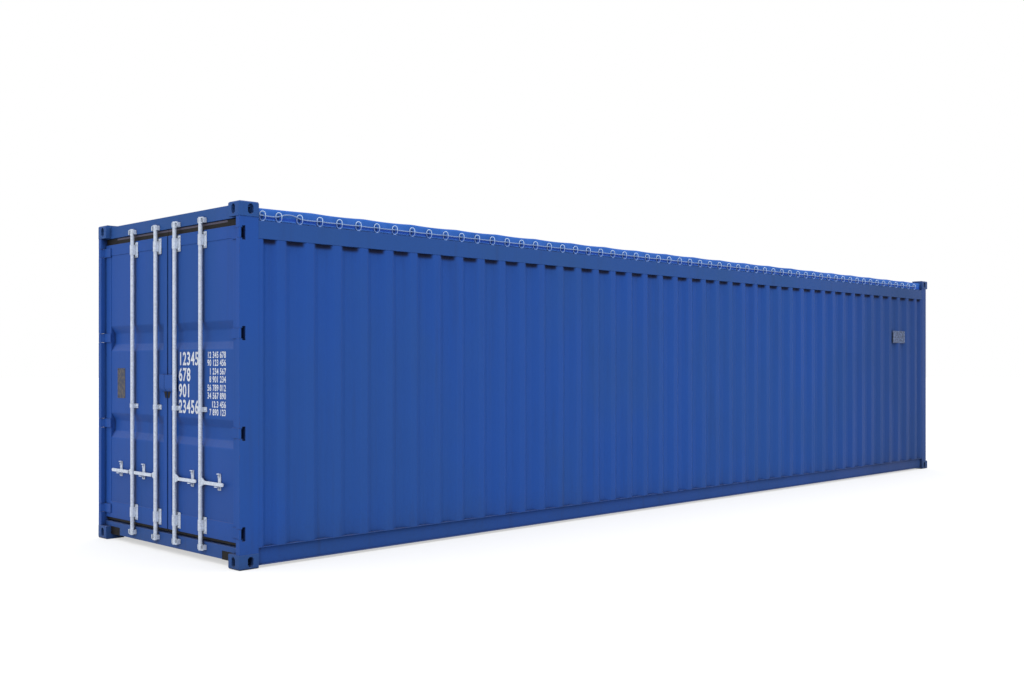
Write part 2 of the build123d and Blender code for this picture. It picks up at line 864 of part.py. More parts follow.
def handle_catches():
    """Plates on the leaf with a seat under each handle and a curled ear above it"""
    bottom = handle_height - catch_bottom_drop
    top = handle_height + catch_top_rise
    seat_top = handle_height - handle_width / 2 - catch_seat_gap
    with BuildPart() as catches:
        for y in (-place - catch_reach for place in bar_places):
            with BuildSketch(Plane.XZ.offset(-y - catch_width / 2)):
                span(bracket_face, panel_face, bottom, top)
                span(door_end + catch_seat_setback, panel_face, seat_top - catch_seat_thickness, seat_top)
                span(bracket_face - catch_ear_depth, panel_face, top - catch_ear_thickness, top)
            extrude(amount=catch_width)
    return catches.part


def seam_cover(y_low, y_high):
    """Box over the seam, with a sloping underside"""
    low = leaf_bottom + cover_bottom
    high = low + cover_height
    with BuildPart() as cover:
        with BuildSketch(Plane.XZ.offset(-y_high)):
            with BuildLine():
                Polyline((leaf_face, high), (door_end + cover_setback, high),
                         (door_end + cover_setback, low + cover_slope_height),
                         (leaf_face - cover_lip, low), (leaf_face, low), close=True)
            make_face()
        extrude(amount=y_high - y_low)
    return cover.part


# Fixed structure
castings = bottom_castings()
keep(castings, "bottom_corner_castings")
keep(top_castings(castings), "top_corner_castings")
keep(rear_posts(), "rear_corner_posts")
keep(front_posts(), "front_corner_posts")
keep(door_header(), "door_header")
keep(door_sill(), "door_sill")
keep(front_top_rail(), "front_top_rail")
keep(front_bottom_rail(), "front_bottom_rail")
keep(front_wall(), "front_wall")
keep(cross_members(), "cross_members")
keep(gooseneck_tunnel(), "gooseneck_tunnel")
keep(floor_boards(), "floor_boards")
keep(roof_bows(), "roof_bows")
keep(tarpaulin(), "tarpaulin")
keep(keepers(top_cam_low), "header_keepers")
keep(keepers(bar_bottom), "sill_keepers")

# Pieces that each side of the container has
for name, piece in (
    ("bottom_side_rail", bottom_side_rail()),
    ("top_side_rail", top_side_rail()),
    ("side_wall", side_wall()),
    ("lashing_rings", lashing_rings()),
    ("tarpaulin_rope", tarpaulin_rope()),
    ("door_frame", door_frame()),
    ("door_panel", door_panel()),
    ("door_seal", door_seal()),
    ("door_hinges", door_hinges()),
    ("bar_brackets", bar_brackets()),
    ("handle_catches", handle_catches()),
):
    keep(piece, name + "_right")
    keep(mirrored(piece), name + "_left")

# The seam cover is split where the right door laps over the left one
keep(seam_cover(cover_overlap - cover_right_width, cover_overlap), "seam_cover_right")
keep(seam_cover(cover_overlap + cover_gap, cover_overlap + cover_gap + cover_left_width), "seam_cover_left")

# Lock bars and handles, counted from the left door's hinge side
outer_bar = lock_bar(-outer_bar_from_centre)
inner_bar = lock_bar(-inner_bar_from_centre)
outer_handle = handle(-outer_bar_from_centre)
inner_handle = handle(-inner_bar_from_centre)
keep(mirrored(outer_bar), "lock_bar_1")
keep(mirrored(inner_bar), "lock_bar_2")
keep(inner_bar, "lock_bar_3")
keep(outer_bar, "lock_bar_4")
keep(mirrored(outer_handle), "handle_1")
keep(mirrored(inner_handle), "handle_2")
keep(inner_handle, "handle_3")
keep(outer_handle, "handle_4")
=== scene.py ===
"""Open top freight container: the finish of its steel, tarpaulin, cords and fittings, on a white stage."""

import json
from math import cos, pi, radians, sin

import bmesh
import bpy
from bpy.props import FloatProperty, FloatVectorProperty, IntProperty, PointerProperty
from mathutils import Matrix, Vector


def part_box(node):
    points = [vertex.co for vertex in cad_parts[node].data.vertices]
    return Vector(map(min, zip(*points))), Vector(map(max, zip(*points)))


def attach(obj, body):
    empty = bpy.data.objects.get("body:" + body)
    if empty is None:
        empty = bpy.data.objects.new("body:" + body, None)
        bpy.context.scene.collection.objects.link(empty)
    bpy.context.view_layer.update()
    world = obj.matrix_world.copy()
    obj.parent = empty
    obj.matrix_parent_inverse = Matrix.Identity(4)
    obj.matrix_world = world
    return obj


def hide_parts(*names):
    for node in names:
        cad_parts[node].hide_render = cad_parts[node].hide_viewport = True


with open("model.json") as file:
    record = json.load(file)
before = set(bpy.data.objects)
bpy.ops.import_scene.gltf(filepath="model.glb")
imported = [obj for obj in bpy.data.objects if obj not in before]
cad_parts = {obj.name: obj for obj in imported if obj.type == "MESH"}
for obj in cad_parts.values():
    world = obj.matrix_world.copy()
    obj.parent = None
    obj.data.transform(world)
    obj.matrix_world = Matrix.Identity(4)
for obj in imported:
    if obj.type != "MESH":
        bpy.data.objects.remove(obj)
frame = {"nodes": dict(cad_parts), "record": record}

bl_info = {
    "name": "Open top container",
    "version": (1, 0, 0),
    "blender": (4, 5, 0),
    "location": "3D View > Sidebar > Container",
    "description": "Finishes an open top freight container round its packed steel frame",
    "category": "Object",
}

RECORD = frame["record"]
BODIES = RECORD["behaviour"]["bodies"]
SIDES = {"left": 1, "right": -1}


def corners(name):
    """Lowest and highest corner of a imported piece"""
    low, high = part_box(name)
    return Vector(low), Vector(high)


def both(*names):
    """Each name once for the left side and once for the right"""
    return [f"{name}_{side}" for name in names for side in SIDES]


FRAME_STEEL = ["rear_corner_posts", "front_corner_posts", *both("door_frame", "seam_cover")]
BEAMS = ["door_header", "door_sill", "front_top_rail", "front_bottom_rail", *both("top_side_rail")]
THIN_STEEL = both("bottom_side_rail")
HINGES = both("door_hinges")
SIDE_SHEETS = both("side_wall")
SHEETS = [*both("door_panel"), "front_wall"]
CASTINGS = ["bottom_corner_castings", "top_corner_castings"]
BARS = [f"lock_bar_{i}" for i in (1, 2, 3, 4)]
HANDLES = [f"handle_{i}" for i in (1, 2, 3, 4)]
DOOR_GEAR = [*both("bar_brackets", "handle_catches"), "header_keepers", "sill_keepers", *BARS, *HANDLES]
UNDERSIDE = ["cross_members", "gooseneck_tunnel"]


def colour_setting(name, description, default):
    """A colour that a user may change"""
    return FloatVectorProperty(name=name, description=description, subtype="COLOR", size=3, min=0.0, max=1.0,
                               default=default)


def length_setting(name, description, default):
    """A length that a user may change"""
    return FloatProperty(name=name, description=description, unit="LENGTH", default=default)


def angle_setting(name, description, degrees):
    """An angle that a user may change"""
    return FloatProperty(name=name, description=description, subtype="ANGLE", default=radians(degrees))


def plain_setting(name, description, default):
    """A plain number that a user may change"""
    return FloatProperty(name=name, description=description, default=default)


class SteelSettings(bpy.types.PropertyGroup):
    """Colours and edge sizes of everything made of steel"""

    paint_colour: colour_setting("Paint", "Colour of the container's paint", (0.0200, 0.0790, 0.3350))
    faded_colour: colour_setting("Faded paint", "Colour of paint dulled by sun and rain",
                                 (0.0310, 0.0870, 0.2450))
    grime_colour: colour_setting("Grime", "Colour of road dirt in runs", (0.0300, 0.0420, 0.0800))
    # Painted shade in corners, joints and under ledges
    corner_shade_colour: colour_setting("Corner shade", "Colour of the shade painted under ledges and in joints",
                                  (0.0110, 0.0120, 0.0300))
    # Dust on faces that look up, which also paints the light falling on them from above
    dust_and_top_light_colour: colour_setting("Dust", "Colour of dust and painted top light on faces that look up", (0.1500, 0.1700, 0.2900))
    rust_colour: colour_setting("Rust", "Colour of bare steel under chipped paint", (0.1100, 0.0520, 0.0300))
    zinc_colour: colour_setting("Zinc", "Colour of the plated door gear", (0.6300, 0.6950, 0.8150))
    underside_colour: colour_setting("Underside coat", "Colour of the wax below the floor",
                                     (0.0120, 0.0130, 0.0160))
    front_darkening: plain_setting("Front darkening", "How far the paint grows darker and greyer towards the front end", 0.40)
    frame_edge: length_setting("Frame edge", "Rounding of the frame's edges", 0.0030)
    gear_edge: length_setting("Gear edge", "Rounding of the door gear's edges", 0.0015)
    thin_edge: length_setting("Thin edge", "Rounding of thin sheet edges", 0.0010)
    casting_corner: length_setting("Casting corner", "Rounding of the castings' outer corners", 0.0140)
    casting_edge: length_setting("Casting edge", "Rounding of the castings' other edges", 0.0025)
    bend_round: length_setting("Bend", "Half width of a pressed bend in the wall sheets", 0.0090)


class ClothSettings(bpy.types.PropertyGroup):
    """Tarpaulin, lashing rings and rope"""

    cloth_colour: colour_setting("Cloth", "Colour of the coated cloth", (0.0300, 0.1250, 0.4700))
    # Painted shade on the flap under the rope
    shade_colour: colour_setting("Flap under the rope", "Colour of the shade painted on the flap under the rope",
                                 (0.0160, 0.0650, 0.4300))
    hem_colour: colour_setting("Hem", "Colour of the bleached hem", (0.1600, 0.3000, 0.6400))
    rope_colour: colour_setting("Rope", "Colour of the rope's plastic cover", (0.2600, 0.4000, 0.7200))
    ring_colour: colour_setting("Rings", "Colour of the plated rings", (0.5200, 0.7000, 0.9600))
    # Painted shade over the lower part of each ring
    ring_foot_shade_colour: colour_setting("Ring foot shade", "Colour of the shade painted over the rings' feet", (0.1600, 0.2700, 0.5600))
    thickness: length_setting("Thickness", "Thickness of the cloth", 0.0010)
    sag: length_setting("Sag", "How far the cloth sinks between two bows", 0.011)
    edge_dip: length_setting("Edge dip", "How far the cloth's edge dips between two bows", 0.007)
    flap_wave: length_setting("Flap wave", "How far the flap swells between two rings", 0.0022)
    seam_width: length_setting("Seam", "Width of a welded seam across the cloth", 0.040)
    seam_count: IntProperty(name="Seams", description="Number of welded seams across the cloth", default=4)
    ring_first: length_setting("First ring", "Rail's start to the first ring", 0.047)
    ring_row_start: length_setting("Ring row", "Rail's start to the even row of rings", 0.200)
    ring_pitch: length_setting("Ring pitch", "Distance between rings", 0.200)
    ring_end_margin: length_setting("Ring margin", "Least room between last ring and rail's end", 0.050)
    ring_wire: length_setting("Ring wire", "Diameter of the ring's wire", 0.0085)
    ring_half_span: length_setting("Ring half span", "Middle of the ring to the middle of a leg", 0.023)
    ring_height: length_setting("Ring height", "Height of a ring over the rail's shoulder", 0.085)
    ring_angle: angle_setting("Ring turn", "How far a ring is turned from the rail's line", 28.2)
    rope_diameter: length_setting("Rope", "Diameter of the rope", 0.0105)
    rope_height: length_setting("Rope height", "Height of the rope over the rail's shoulder", 0.046)
    rope_overrun: length_setting("Rope overrun", "How far the rope runs past the end rings", 0.030)
    rope_sag: length_setting("Rope sag", "How far the rope sinks between two rings", 0.004)
    rope_slack: length_setting("Rope slack", "How far the one slack bay of the rope stands up", 0.024)


class MarkingSettings(bpy.types.PropertyGroup):
    """Plain figures on the right door and the bare plates"""

    figure_colour: colour_setting("Figures", "Colour of the painted figures", (0.6800, 0.7100, 0.7600))
    dull_plate: colour_setting("Dull plate", "Colour of the left door's plate", (0.0800, 0.0640, 0.0560))
    bare_plate: colour_setting("Bare plate", "Colour of the near side's plate", (0.0950, 0.1500, 0.3100))
    block_top: length_setting("Block top", "Top of the block of figures", 1.716)
    block_left: length_setting("Block left", "Near side to the left edge of the block", 1.032)
    row_pitch: length_setting("Row pitch", "Distance between rows of figures", 0.134)
    large_height: length_setting("Large figures", "Height of the large figures", 0.107)
    small_height: length_setting("Small figures", "Height of the small figures", 0.050)
    column_gap: length_setting("Column", "Block's left edge to the small figures' right edge", 0.750)


class StageSettings(bpy.types.PropertyGroup):
    """Camera, lamps and floor"""

    lens: plain_setting("Lens", "Focal length in millimetres", 39.395)
    shift_up: plain_setting("Shift", "Upward shift of the lens", 0.0221)
    eye: FloatVectorProperty(name="Camera", description="Place of the camera", subtype="TRANSLATION", size=3,
                             default=(-10.807, -8.868, 1.615))
    heading: plain_setting("Heading", "Direction the camera looks, from +X towards +Y", 0.78)
    sky: plain_setting("Sky", "Strength of the light from all round", 1.15)
    key: plain_setting("Key", "Strength of the soft lamp over the camera's side", 0.60)
    key_spread: angle_setting("Key spread", "Apparent size of the soft lamp", 50)
    top: plain_setting("Top", "Strength of the soft lamp straight above", 0.70)
    top_spread: angle_setting("Top spread", "Apparent size of the lamp above", 70)
    floor_size: length_setting("Floor", "Side of the floor", 240.0)
    floor_colour: plain_setting("Floor tone", "How much light the floor gives back", 0.42)
    floor_fill: plain_setting("Floor fill", "Light that only the camera sees on the floor", 0.55)


def feed(tree, socket, value):
    """Set an input to a value, or link it to another node's output"""
    if isinstance(value, bpy.types.NodeSocket):
        tree.links.new(value, socket)
    else:
        socket.default_value = value


def node(tree, kind, options=None, feeds=None):
    """A new shader node with its options set and its inputs fed"""
    made = tree.nodes.new("ShaderNode" + kind)
    for name, value in (options or {}).items():
        setattr(made, name, value)
    for name, value in (feeds or {}).items():
        feed(tree, made.inputs[name], value)
    return made


def calc(tree, operation, a, b=0.0):
    """One step of arithmetic"""
    return node(tree, "Math", {"operation": operation}, {0: a, 1: b}).outputs[0]


def times(tree, a, b):
    """Two numbers multiplied"""
    return calc(tree, "MULTIPLY", a, b)


def axes(tree, vector):
    """A vector's three numbers"""
    return node(tree, "SeparateXYZ", None, {0: vector}).outputs


def ramp(tree, value, low, high, start=0.0, end=1.0):
    """Value carried smoothly from start at low to end at high"""
    feeds = {"Value": value, "From Min": low, "From Max": high, "To Min": start, "To Max": end}
    return node(tree, "MapRange", {"interpolation_type": "SMOOTHSTEP"}, feeds).outputs[0]


def noise(tree, vector, scale, detail=2.0, roughness=0.5):
    """Plain cloud noise about 0.5"""
    feeds = {"Vector": vector, "Scale": scale, "Detail": detail, "Roughness": roughness}
    return node(tree, "TexNoise", None, feeds).outputs[0]


def stretch(tree, vector, factors):
    """The same places, stretched along each axis"""
    return node(tree, "VectorMath", {"operation": "MULTIPLY"}, {0: vector, 1: factors}).outputs[0]


def rgb(colour):
    """A colour as a socket's four numbers"""
    return (*colour, 1.0)


def tint(tree, factor, a, b):
    """One colour laid over another"""
    mix = node(tree, "Mix", {"data_type": "RGBA"}, {0: factor, 6: a, 7: b})
    return mix.outputs[2]


def lay(tree, colour, over, mask, share):
    """A plain colour laid over another one, as far as a mask and a share say"""
    return tint(tree, times(tree, mask, share), colour, rgb(over))


def effect(name, inputs, outputs, fill):
    """A shader node group, whose outputs fill makes the first time it is asked for"""
    if name in bpy.data.node_groups:
        return bpy.data.node_groups[name]
    tree = bpy.data.node_groups.new(name, "ShaderNodeTree")
    for label in inputs:
        kind = "NodeSocketVector" if label == "Vector" else "NodeSocketFloat"
        tree.interface.new_socket(label, in_out="INPUT", socket_type=kind)
    for label in outputs:
        tree.interface.new_socket(label, in_out="OUTPUT", socket_type="NodeSocketFloat")
    given = tree.nodes.new("NodeGroupInput")
    wanted = tree.nodes.new("NodeGroupOutput")
    for label, value in fill(tree, given.outputs).items():
        tree.links.new(value, wanted.inputs[label])
    return tree


def use(tree, group, **feeds):
    """A group placed in a material; a space in an input's name is written as an underscore"""
    made = tree.nodes.new("ShaderNodeGroup")
    made.node_tree = group
    for name, value in feeds.items():
        feed(tree, made.inputs[name.replace("_", " ")], value)
    return made.outputs


def weather_group():
    """Rain runs, faded patches and dust, and a mask of faces that look up for dust that also paints their
    top light
    """
    def fill(tree, given):
        place = given["Vector"]
        runs = noise(tree, stretch(tree, place, (1.0, 1.0, 0.06)), 11.0, 4.0, 0.62)
        broad = noise(tree, stretch(tree, place, (1.0, 1.0, 0.55)), 0.9, 5.0, 0.55)
        speck = noise(tree, place, 46.0, 3.0, 0.6)
        low_down = ramp(tree, axes(tree, place)[2], 0.75, 0.05)
        dusty = calc(tree, "ADD", times(tree, low_down, 0.7), 0.3)
        facing = node(tree, "NewGeometry").outputs["Normal"]
        upward = ramp(tree, axes(tree, facing)[2], 0.15, 0.85)
        return {
            "Runs": ramp(tree, runs, 0.50, 0.78),
            "Patches": ramp(tree, broad, 0.36, 0.68),
            "Dust": times(tree, dusty, ramp(tree, speck, 0.46, 0.74)),
            "Dust and top light": times(tree, upward, ramp(tree, speck, 0.30, 0.70, 0.55, 1.0)),
        }
    return effect("Weather", ("Vector",), ("Runs", "Patches", "Dust", "Dust and top light"), fill)


def wear_group():
    """Where edges have lost their paint, broken up by noise"""
    def fill(tree, given):
        soft = node(tree, "Bevel", {"samples": 4}, {"Radius": given["Radius"]}).outputs[0]
        true = node(tree, "NewGeometry").outputs["Normal"]
        match = node(tree, "VectorMath", {"operation": "DOT_PRODUCT"}, {0: soft, 1: true}).outputs["Value"]
        edge = ramp(tree, match, 0.985, 0.86)
        fine = noise(tree, given["Vector"], 58.0, 5.0, 0.7)
        broad = noise(tree, given["Vector"], 3.2, 2.0, 0.5)
        chips = times(tree, ramp(tree, fine, 0.50, 0.60), ramp(tree, broad, 0.48, 0.66))
        return {"Edge": edge, "Chips": times(tree, edge, chips)}
    return effect("Edge Wear", ("Vector", "Radius"), ("Edge", "Chips"), fill)


def corner_shade_group():
    """Painted shade in corners and under ledges, where little light reaches, broken up by noise"""
    def fill(tree, given):
        occlusion_shade = node(tree, "AmbientOcclusion", {"samples": 6}, {"Distance": given["Reach"]}).outputs["AO"]
        smear = noise(tree, stretch(tree, given["Vector"], (1.0, 1.0, 0.35)), 14.0, 4.0, 0.6)
        broken = ramp(tree, smear, 0.25, 0.62, 0.70, 1.0)
        return {"Grime": times(tree, ramp(tree, occlusion_shade, 0.70, 0.22), broken)}
    return effect("Corner Shade", ("Vector", "Reach"), ("Grime",), fill)


def skin_group():
    """Height of a sprayed or cast skin: a fine peel over slow waves"""
    def fill(tree, given):
        peel = times(tree, noise(tree, given["Vector"], given["Peel Scale"], 2.0, 0.5), given["Peel"])
        waves = times(tree, noise(tree, given["Vector"], given["Wave Scale"], 1.0, 0.4), given["Waves"])
        return {"Height": calc(tree, "ADD", peel, waves)}
    return effect("Skin", ("Vector", "Peel Scale", "Wave Scale", "Peel", "Waves"), ("Height",), fill)


def strands_group():
    """Height of crossing threads, as in cloth, or of laid strands where one of them is off"""
    def fill(tree, given):
        threads = []
        for direction, scale in (("X", "Warp Scale"), ("Y", "Weft Scale")):
            options = {"wave_type": "BANDS", "bands_direction": direction, "wave_profile": "SIN"}
            wave = node(tree, "TexWave", options, {"Vector": given["Vector"], "Scale": given[scale]})
            threads.append(wave.outputs[1])
        return {"Height": times(tree, calc(tree, "ADD", *threads), 0.5)}
    return effect("Strands", ("Vector", "Warp Scale", "Weft Scale"), ("Height",), fill)


def material(name, fill, fixed=None):
    """A material, in which fill makes the colour, the roughness, the relief and the relief's depth"""
    if name in bpy.data.materials:
        return bpy.data.materials[name]
    made = bpy.data.materials.new(name)
    made.use_nodes = True
    tree = made.node_tree
    shader = tree.nodes["Principled BSDF"]
    colour, rough, relief, depth = fill(tree, tree.nodes.new("ShaderNodeTexCoord").outputs["Object"])
    bump = node(tree, "Bump", None, {"Height": relief, "Distance": depth, "Strength": 1.0})
    feed(tree, shader.inputs["Base Color"], colour)
    feed(tree, shader.inputs["Roughness"], rough)
    feed(tree, shader.inputs["Normal"], bump.outputs[0])
    for socket, value in (fixed or {}).items():
        shader.inputs[socket].default_value = value
    return made


SPLASH_HEIGHT = 0.42
# Height below which the door and front sheets grow darker towards the bottom
SHEET_DARKENING_TOP = 1.15
FRONT_DARKENING_START = 0.66
FADING_RANGE = 0.28
# Depths below the side wall's outer face and below its top, between which shade is painted at the top of
# each trough under the rail
TROUGH_FROM = 0.003
TROUGH_TO = 0.018
LEDGE_SHADE_FULL = 0.020
LEDGE_SHADE_END = 0.052


def steel_paint(name, waves, peel_scale, wear, dulled=0.0, darkening_top=SPLASH_HEIGHT, ledge=None):
    """Container paint: faded, streaked and dusty, with dust and painted top light on faces that look up,
    painted shade in corners and under any ledge, darker towards the front end, and chipped edges where wear
    is set
    """
    steel = bpy.context.scene.container_steel

    def fill(tree, place):
        weather = use(tree, weather_group(), Vector=place)
        fading = ramp(tree, weather["Patches"], 0.0, 1.0, dulled, dulled + FADING_RANGE)
        colour = tint(tree, fading, rgb(steel.paint_colour), rgb(steel.faded_colour))
        colour = lay(tree, colour, steel.grime_colour, weather["Runs"], 0.16)
        colour = lay(tree, colour, steel.grime_colour, weather["Dust"], 0.14)
        # Dust and painted top light on faces that look up
        colour = lay(tree, colour, steel.dust_and_top_light_colour, weather["Dust and top light"], 0.45)
        # Painted shade in corners and joints, as deep as each point is hidden
        grime = use(tree, corner_shade_group(), Vector=place, Reach=0.10)["Grime"]
        colour = lay(tree, colour, steel.corner_shade_colour, grime, 0.88)
        along, across, height = axes(tree, place)
        # Darker in streaks towards the bottom
        streaks = ramp(tree, weather["Runs"], 0.0, 1.0, 0.55, 1.0)
        lower_darkening = times(tree, ramp(tree, height, darkening_top, 0.02), streaks)
        colour = lay(tree, colour, steel.grime_colour, lower_darkening, 0.36)
        # Darker and greyer towards the front end
        rear, front = (corner.x for corner in corners("side_wall_left"))
        front_dulling = ramp(tree, along, rear + (front - rear) * FRONT_DARKENING_START, front, 0.0, steel.front_darkening)
        colour = tint(tree, front_dulling, colour, rgb(steel.grime_colour))
        # Painted shade at the top of each trough, under the top rail
        if ledge:
            inset = ramp(tree, calc(tree, "ABSOLUTE", across), ledge.y - TROUGH_FROM, ledge.y - TROUGH_TO)
            high = ramp(tree, height, ledge.z - LEDGE_SHADE_END, ledge.z - LEDGE_SHADE_FULL)
            colour = lay(tree, colour, steel.corner_shade_colour, times(tree, high, inset), 0.93)
        rough = ramp(tree, weather["Patches"], 0.0, 1.0, 0.42, 0.56)
        if wear > 0:
            worn = use(tree, wear_group(), Vector=place, Radius=wear)
            colour = lay(tree, colour, steel.faded_colour, worn["Edge"], 0.22)
            colour = lay(tree, colour, steel.rust_colour, worn["Chips"], 0.80)
            rough = calc(tree, "ADD", rough, times(tree, worn["Chips"], 0.25))
        skin = use(tree, skin_group(), Vector=place, Peel_Scale=peel_scale, Wave_Scale=1.7, Peel=0.10,
                   Waves=waves)
        return colour, rough, skin["Height"], 0.004
    return material(name, fill, {"Specular IOR Level": 0.06})


def sheet_paint():
    """Paint on the wide pressed sheets, which are never quite flat, darker in streaks towards the bottom up
    to about mid height
    """
    return steel_paint("Painted sheet", 3.2, 420.0, 0.0, darkening_top=SHEET_DARKENING_TOP)


def side_paint():
    """Paint on the side walls, with painted shade at the top of each trough under the rail"""
    return steel_paint("Painted side", 3.2, 420.0, 0.0, ledge=corners("side_wall_left")[1])


def frame_paint():
    """Paint on rails, posts and beams"""
    return steel_paint("Painted frame", 0.5, 420.0, 0.006)


def beam_paint():
    """Duller paint on the beams and top rails, which catch the most weather"""
    return steel_paint("Painted beam", 0.5, 420.0, 0.006, 0.45)


def casting_paint():
    """Paint over rough cast steel, knocked about by lifting gear"""
    return steel_paint("Painted casting", 0.6, 95.0, 0.014, 0.60)


ZINC_DULL = 0.62
RING_FOOT_SHADE = (0.056, 0.026)
RING_FOOT_SHADE_SHARE = 0.90


def plated_steel(name, colour, brightness, foot_shade_colour=None):
    """Hot dipped zinc: crystal patches and dull film, with painted shade in the corners and, for the rings,
    over their feet
    """
    steel = bpy.context.scene.container_steel

    def fill(tree, place):
        cells = node(tree, "TexVoronoi", {"feature": "F1"}, {"Vector": place, "Scale": 75.0})
        spangle = node(tree, "SeparateColor", None, {0: cells.outputs["Color"]}).outputs[0]
        weather = use(tree, weather_group(), Vector=place)
        dull = [channel * ZINC_DULL for channel in colour]
        body = tint(tree, ramp(tree, spangle, 0.0, 1.0, 0.05, 0.45), rgb(colour), rgb(dull))
        body = lay(tree, body, steel.grime_colour, weather["Dust"], 0.14)
        # Painted shade in the corners of the gear
        occlusion_shade = use(tree, corner_shade_group(), Vector=place, Reach=0.030)["Grime"]
        body = lay(tree, body, steel.corner_shade_colour, occlusion_shade, 0.80)
        # Painted shade over the rings' feet, under the rope and the flap
        if foot_shade_colour:
            over = calc(tree, "SUBTRACT", axes(tree, place)[2], shoulder_height())
            body = tint(tree, ramp(tree, over, *RING_FOOT_SHADE, 0.0, RING_FOOT_SHADE_SHARE), body, rgb(foot_shade_colour))
        worn = use(tree, wear_group(), Vector=place, Radius=0.004)
        body = lay(tree, body, steel.rust_colour, worn["Chips"], 0.45)
        skin = use(tree, skin_group(), Vector=place, Peel_Scale=260.0, Wave_Scale=30.0, Peel=0.12, Waves=0.2)
        return body, ramp(tree, spangle, 0.0, 1.0, 0.38, 0.58), skin["Height"], 0.001
    return material(name, fill, {"Metallic": brightness})


def gear_zinc():
    """Plating of the door gear"""
    return plated_steel("Plated gear", bpy.context.scene.container_steel.zinc_colour, 0.15)


def ring_zinc():
    """Brighter plating of the lashing rings, with painted shade over their feet"""
    cloth = bpy.context.scene.container_cloth
    return plated_steel("Plated rings", cloth.ring_colour, 0.10, cloth.ring_foot_shade_colour)


UNDERSIDE_DUST = (0.10, 0.085, 0.07)


def underside_coat():
    """Thick dark wax, brushed on and dusty"""
    steel = bpy.context.scene.container_steel

    def fill(tree, place):
        weather = use(tree, weather_group(), Vector=place)
        colour = lay(tree, rgb(steel.underside_colour), UNDERSIDE_DUST, weather["Dust"], 0.5)
        skin = use(tree, skin_group(), Vector=place, Peel_Scale=60.0, Wave_Scale=9.0, Peel=0.6, Waves=1.0)
        return colour, ramp(tree, weather["Patches"], 0.0, 1.0, 0.35, 0.7), skin["Height"], 0.002
    return material("Underside coat", fill)


RUBBER = (0.0080, 0.0070, 0.0070)
RUBBER_BLOOM = (0.030, 0.026, 0.024)
LIT_LIP = (0.095, 0.085, 0.125)
LIT_LIP_BOTTOM = 2.7510
LIT_LIP_END = 0.9500
LIT_LIP_BLUR = 0.001
LIT_LIP_END_BLUR = 0.003


def seal_rubber():
    """Black door rubber with a bloom of dust, and the header's lit lower lip along its top"""
    def fill(tree, place):
        weather = use(tree, weather_group(), Vector=place)
        colour = lay(tree, rgb(RUBBER), RUBBER_BLOOM, weather["Patches"], 0.20)
        across, height = axes(tree, place)[1:]
        off = calc(tree, "ABSOLUTE", across)
        above = ramp(tree, height, LIT_LIP_BOTTOM - LIT_LIP_BLUR, LIT_LIP_BOTTOM + LIT_LIP_BLUR)
        within = ramp(tree, off, LIT_LIP_END + LIT_LIP_END_BLUR, LIT_LIP_END - LIT_LIP_END_BLUR)
        colour = tint(tree, times(tree, above, within), colour, rgb(LIT_LIP))
        skin = use(tree, skin_group(), Vector=place, Peel_Scale=500.0, Wave_Scale=25.0, Peel=0.3, Waves=0.4)
        return colour, ramp(tree, weather["Runs"], 0.0, 1.0, 0.62, 0.8), skin["Height"], 0.0008
    return material("Seal rubber", fill, {"Specular IOR Level": 0.15})


PALE_GRAIN = (0.235, 0.118, 0.052)
DARK_GRAIN = (0.115, 0.050, 0.020)
GREYED_WOOD = (0.16, 0.105, 0.065)
SCUFFED_WOOD = (0.055, 0.038, 0.028)


def floor_wood():
    """Sealed plywood: long grain, greyed patches and scuffs from freight"""
    def fill(tree, place):
        grain = noise(tree, stretch(tree, place, (0.9, 26.0, 4.0)), 3.0, 6.0, 0.62)
        broad = noise(tree, place, 0.7, 4.0, 0.6)
        scuffs = noise(tree, stretch(tree, place, (0.5, 9.0, 1.0)), 5.0, 8.0, 0.72)
        wood = tint(tree, ramp(tree, grain, 0.34, 0.70), rgb(PALE_GRAIN), rgb(DARK_GRAIN))
        wood = tint(tree, ramp(tree, broad, 0.35, 0.70, 0.0, 0.35), wood, rgb(GREYED_WOOD))
        wood = tint(tree, ramp(tree, scuffs, 0.56, 0.74, 0.0, 0.5), wood, rgb(SCUFFED_WOOD))
        return wood, ramp(tree, broad, 0.3, 0.7, 0.42, 0.66), grain, 0.0006
    return material("Floor plywood", fill)


# Places between which each band of the cloth begins or ends: from the middle, and over the rail's shoulder
FLAP = (1.160, 1.172)
ROPE_SHADE_BOTTOM = (0.019, 0.023)
ROPE_SHADE_TOP = (0.050, 0.038)
HEM_TOP = (0.020, 0.016)


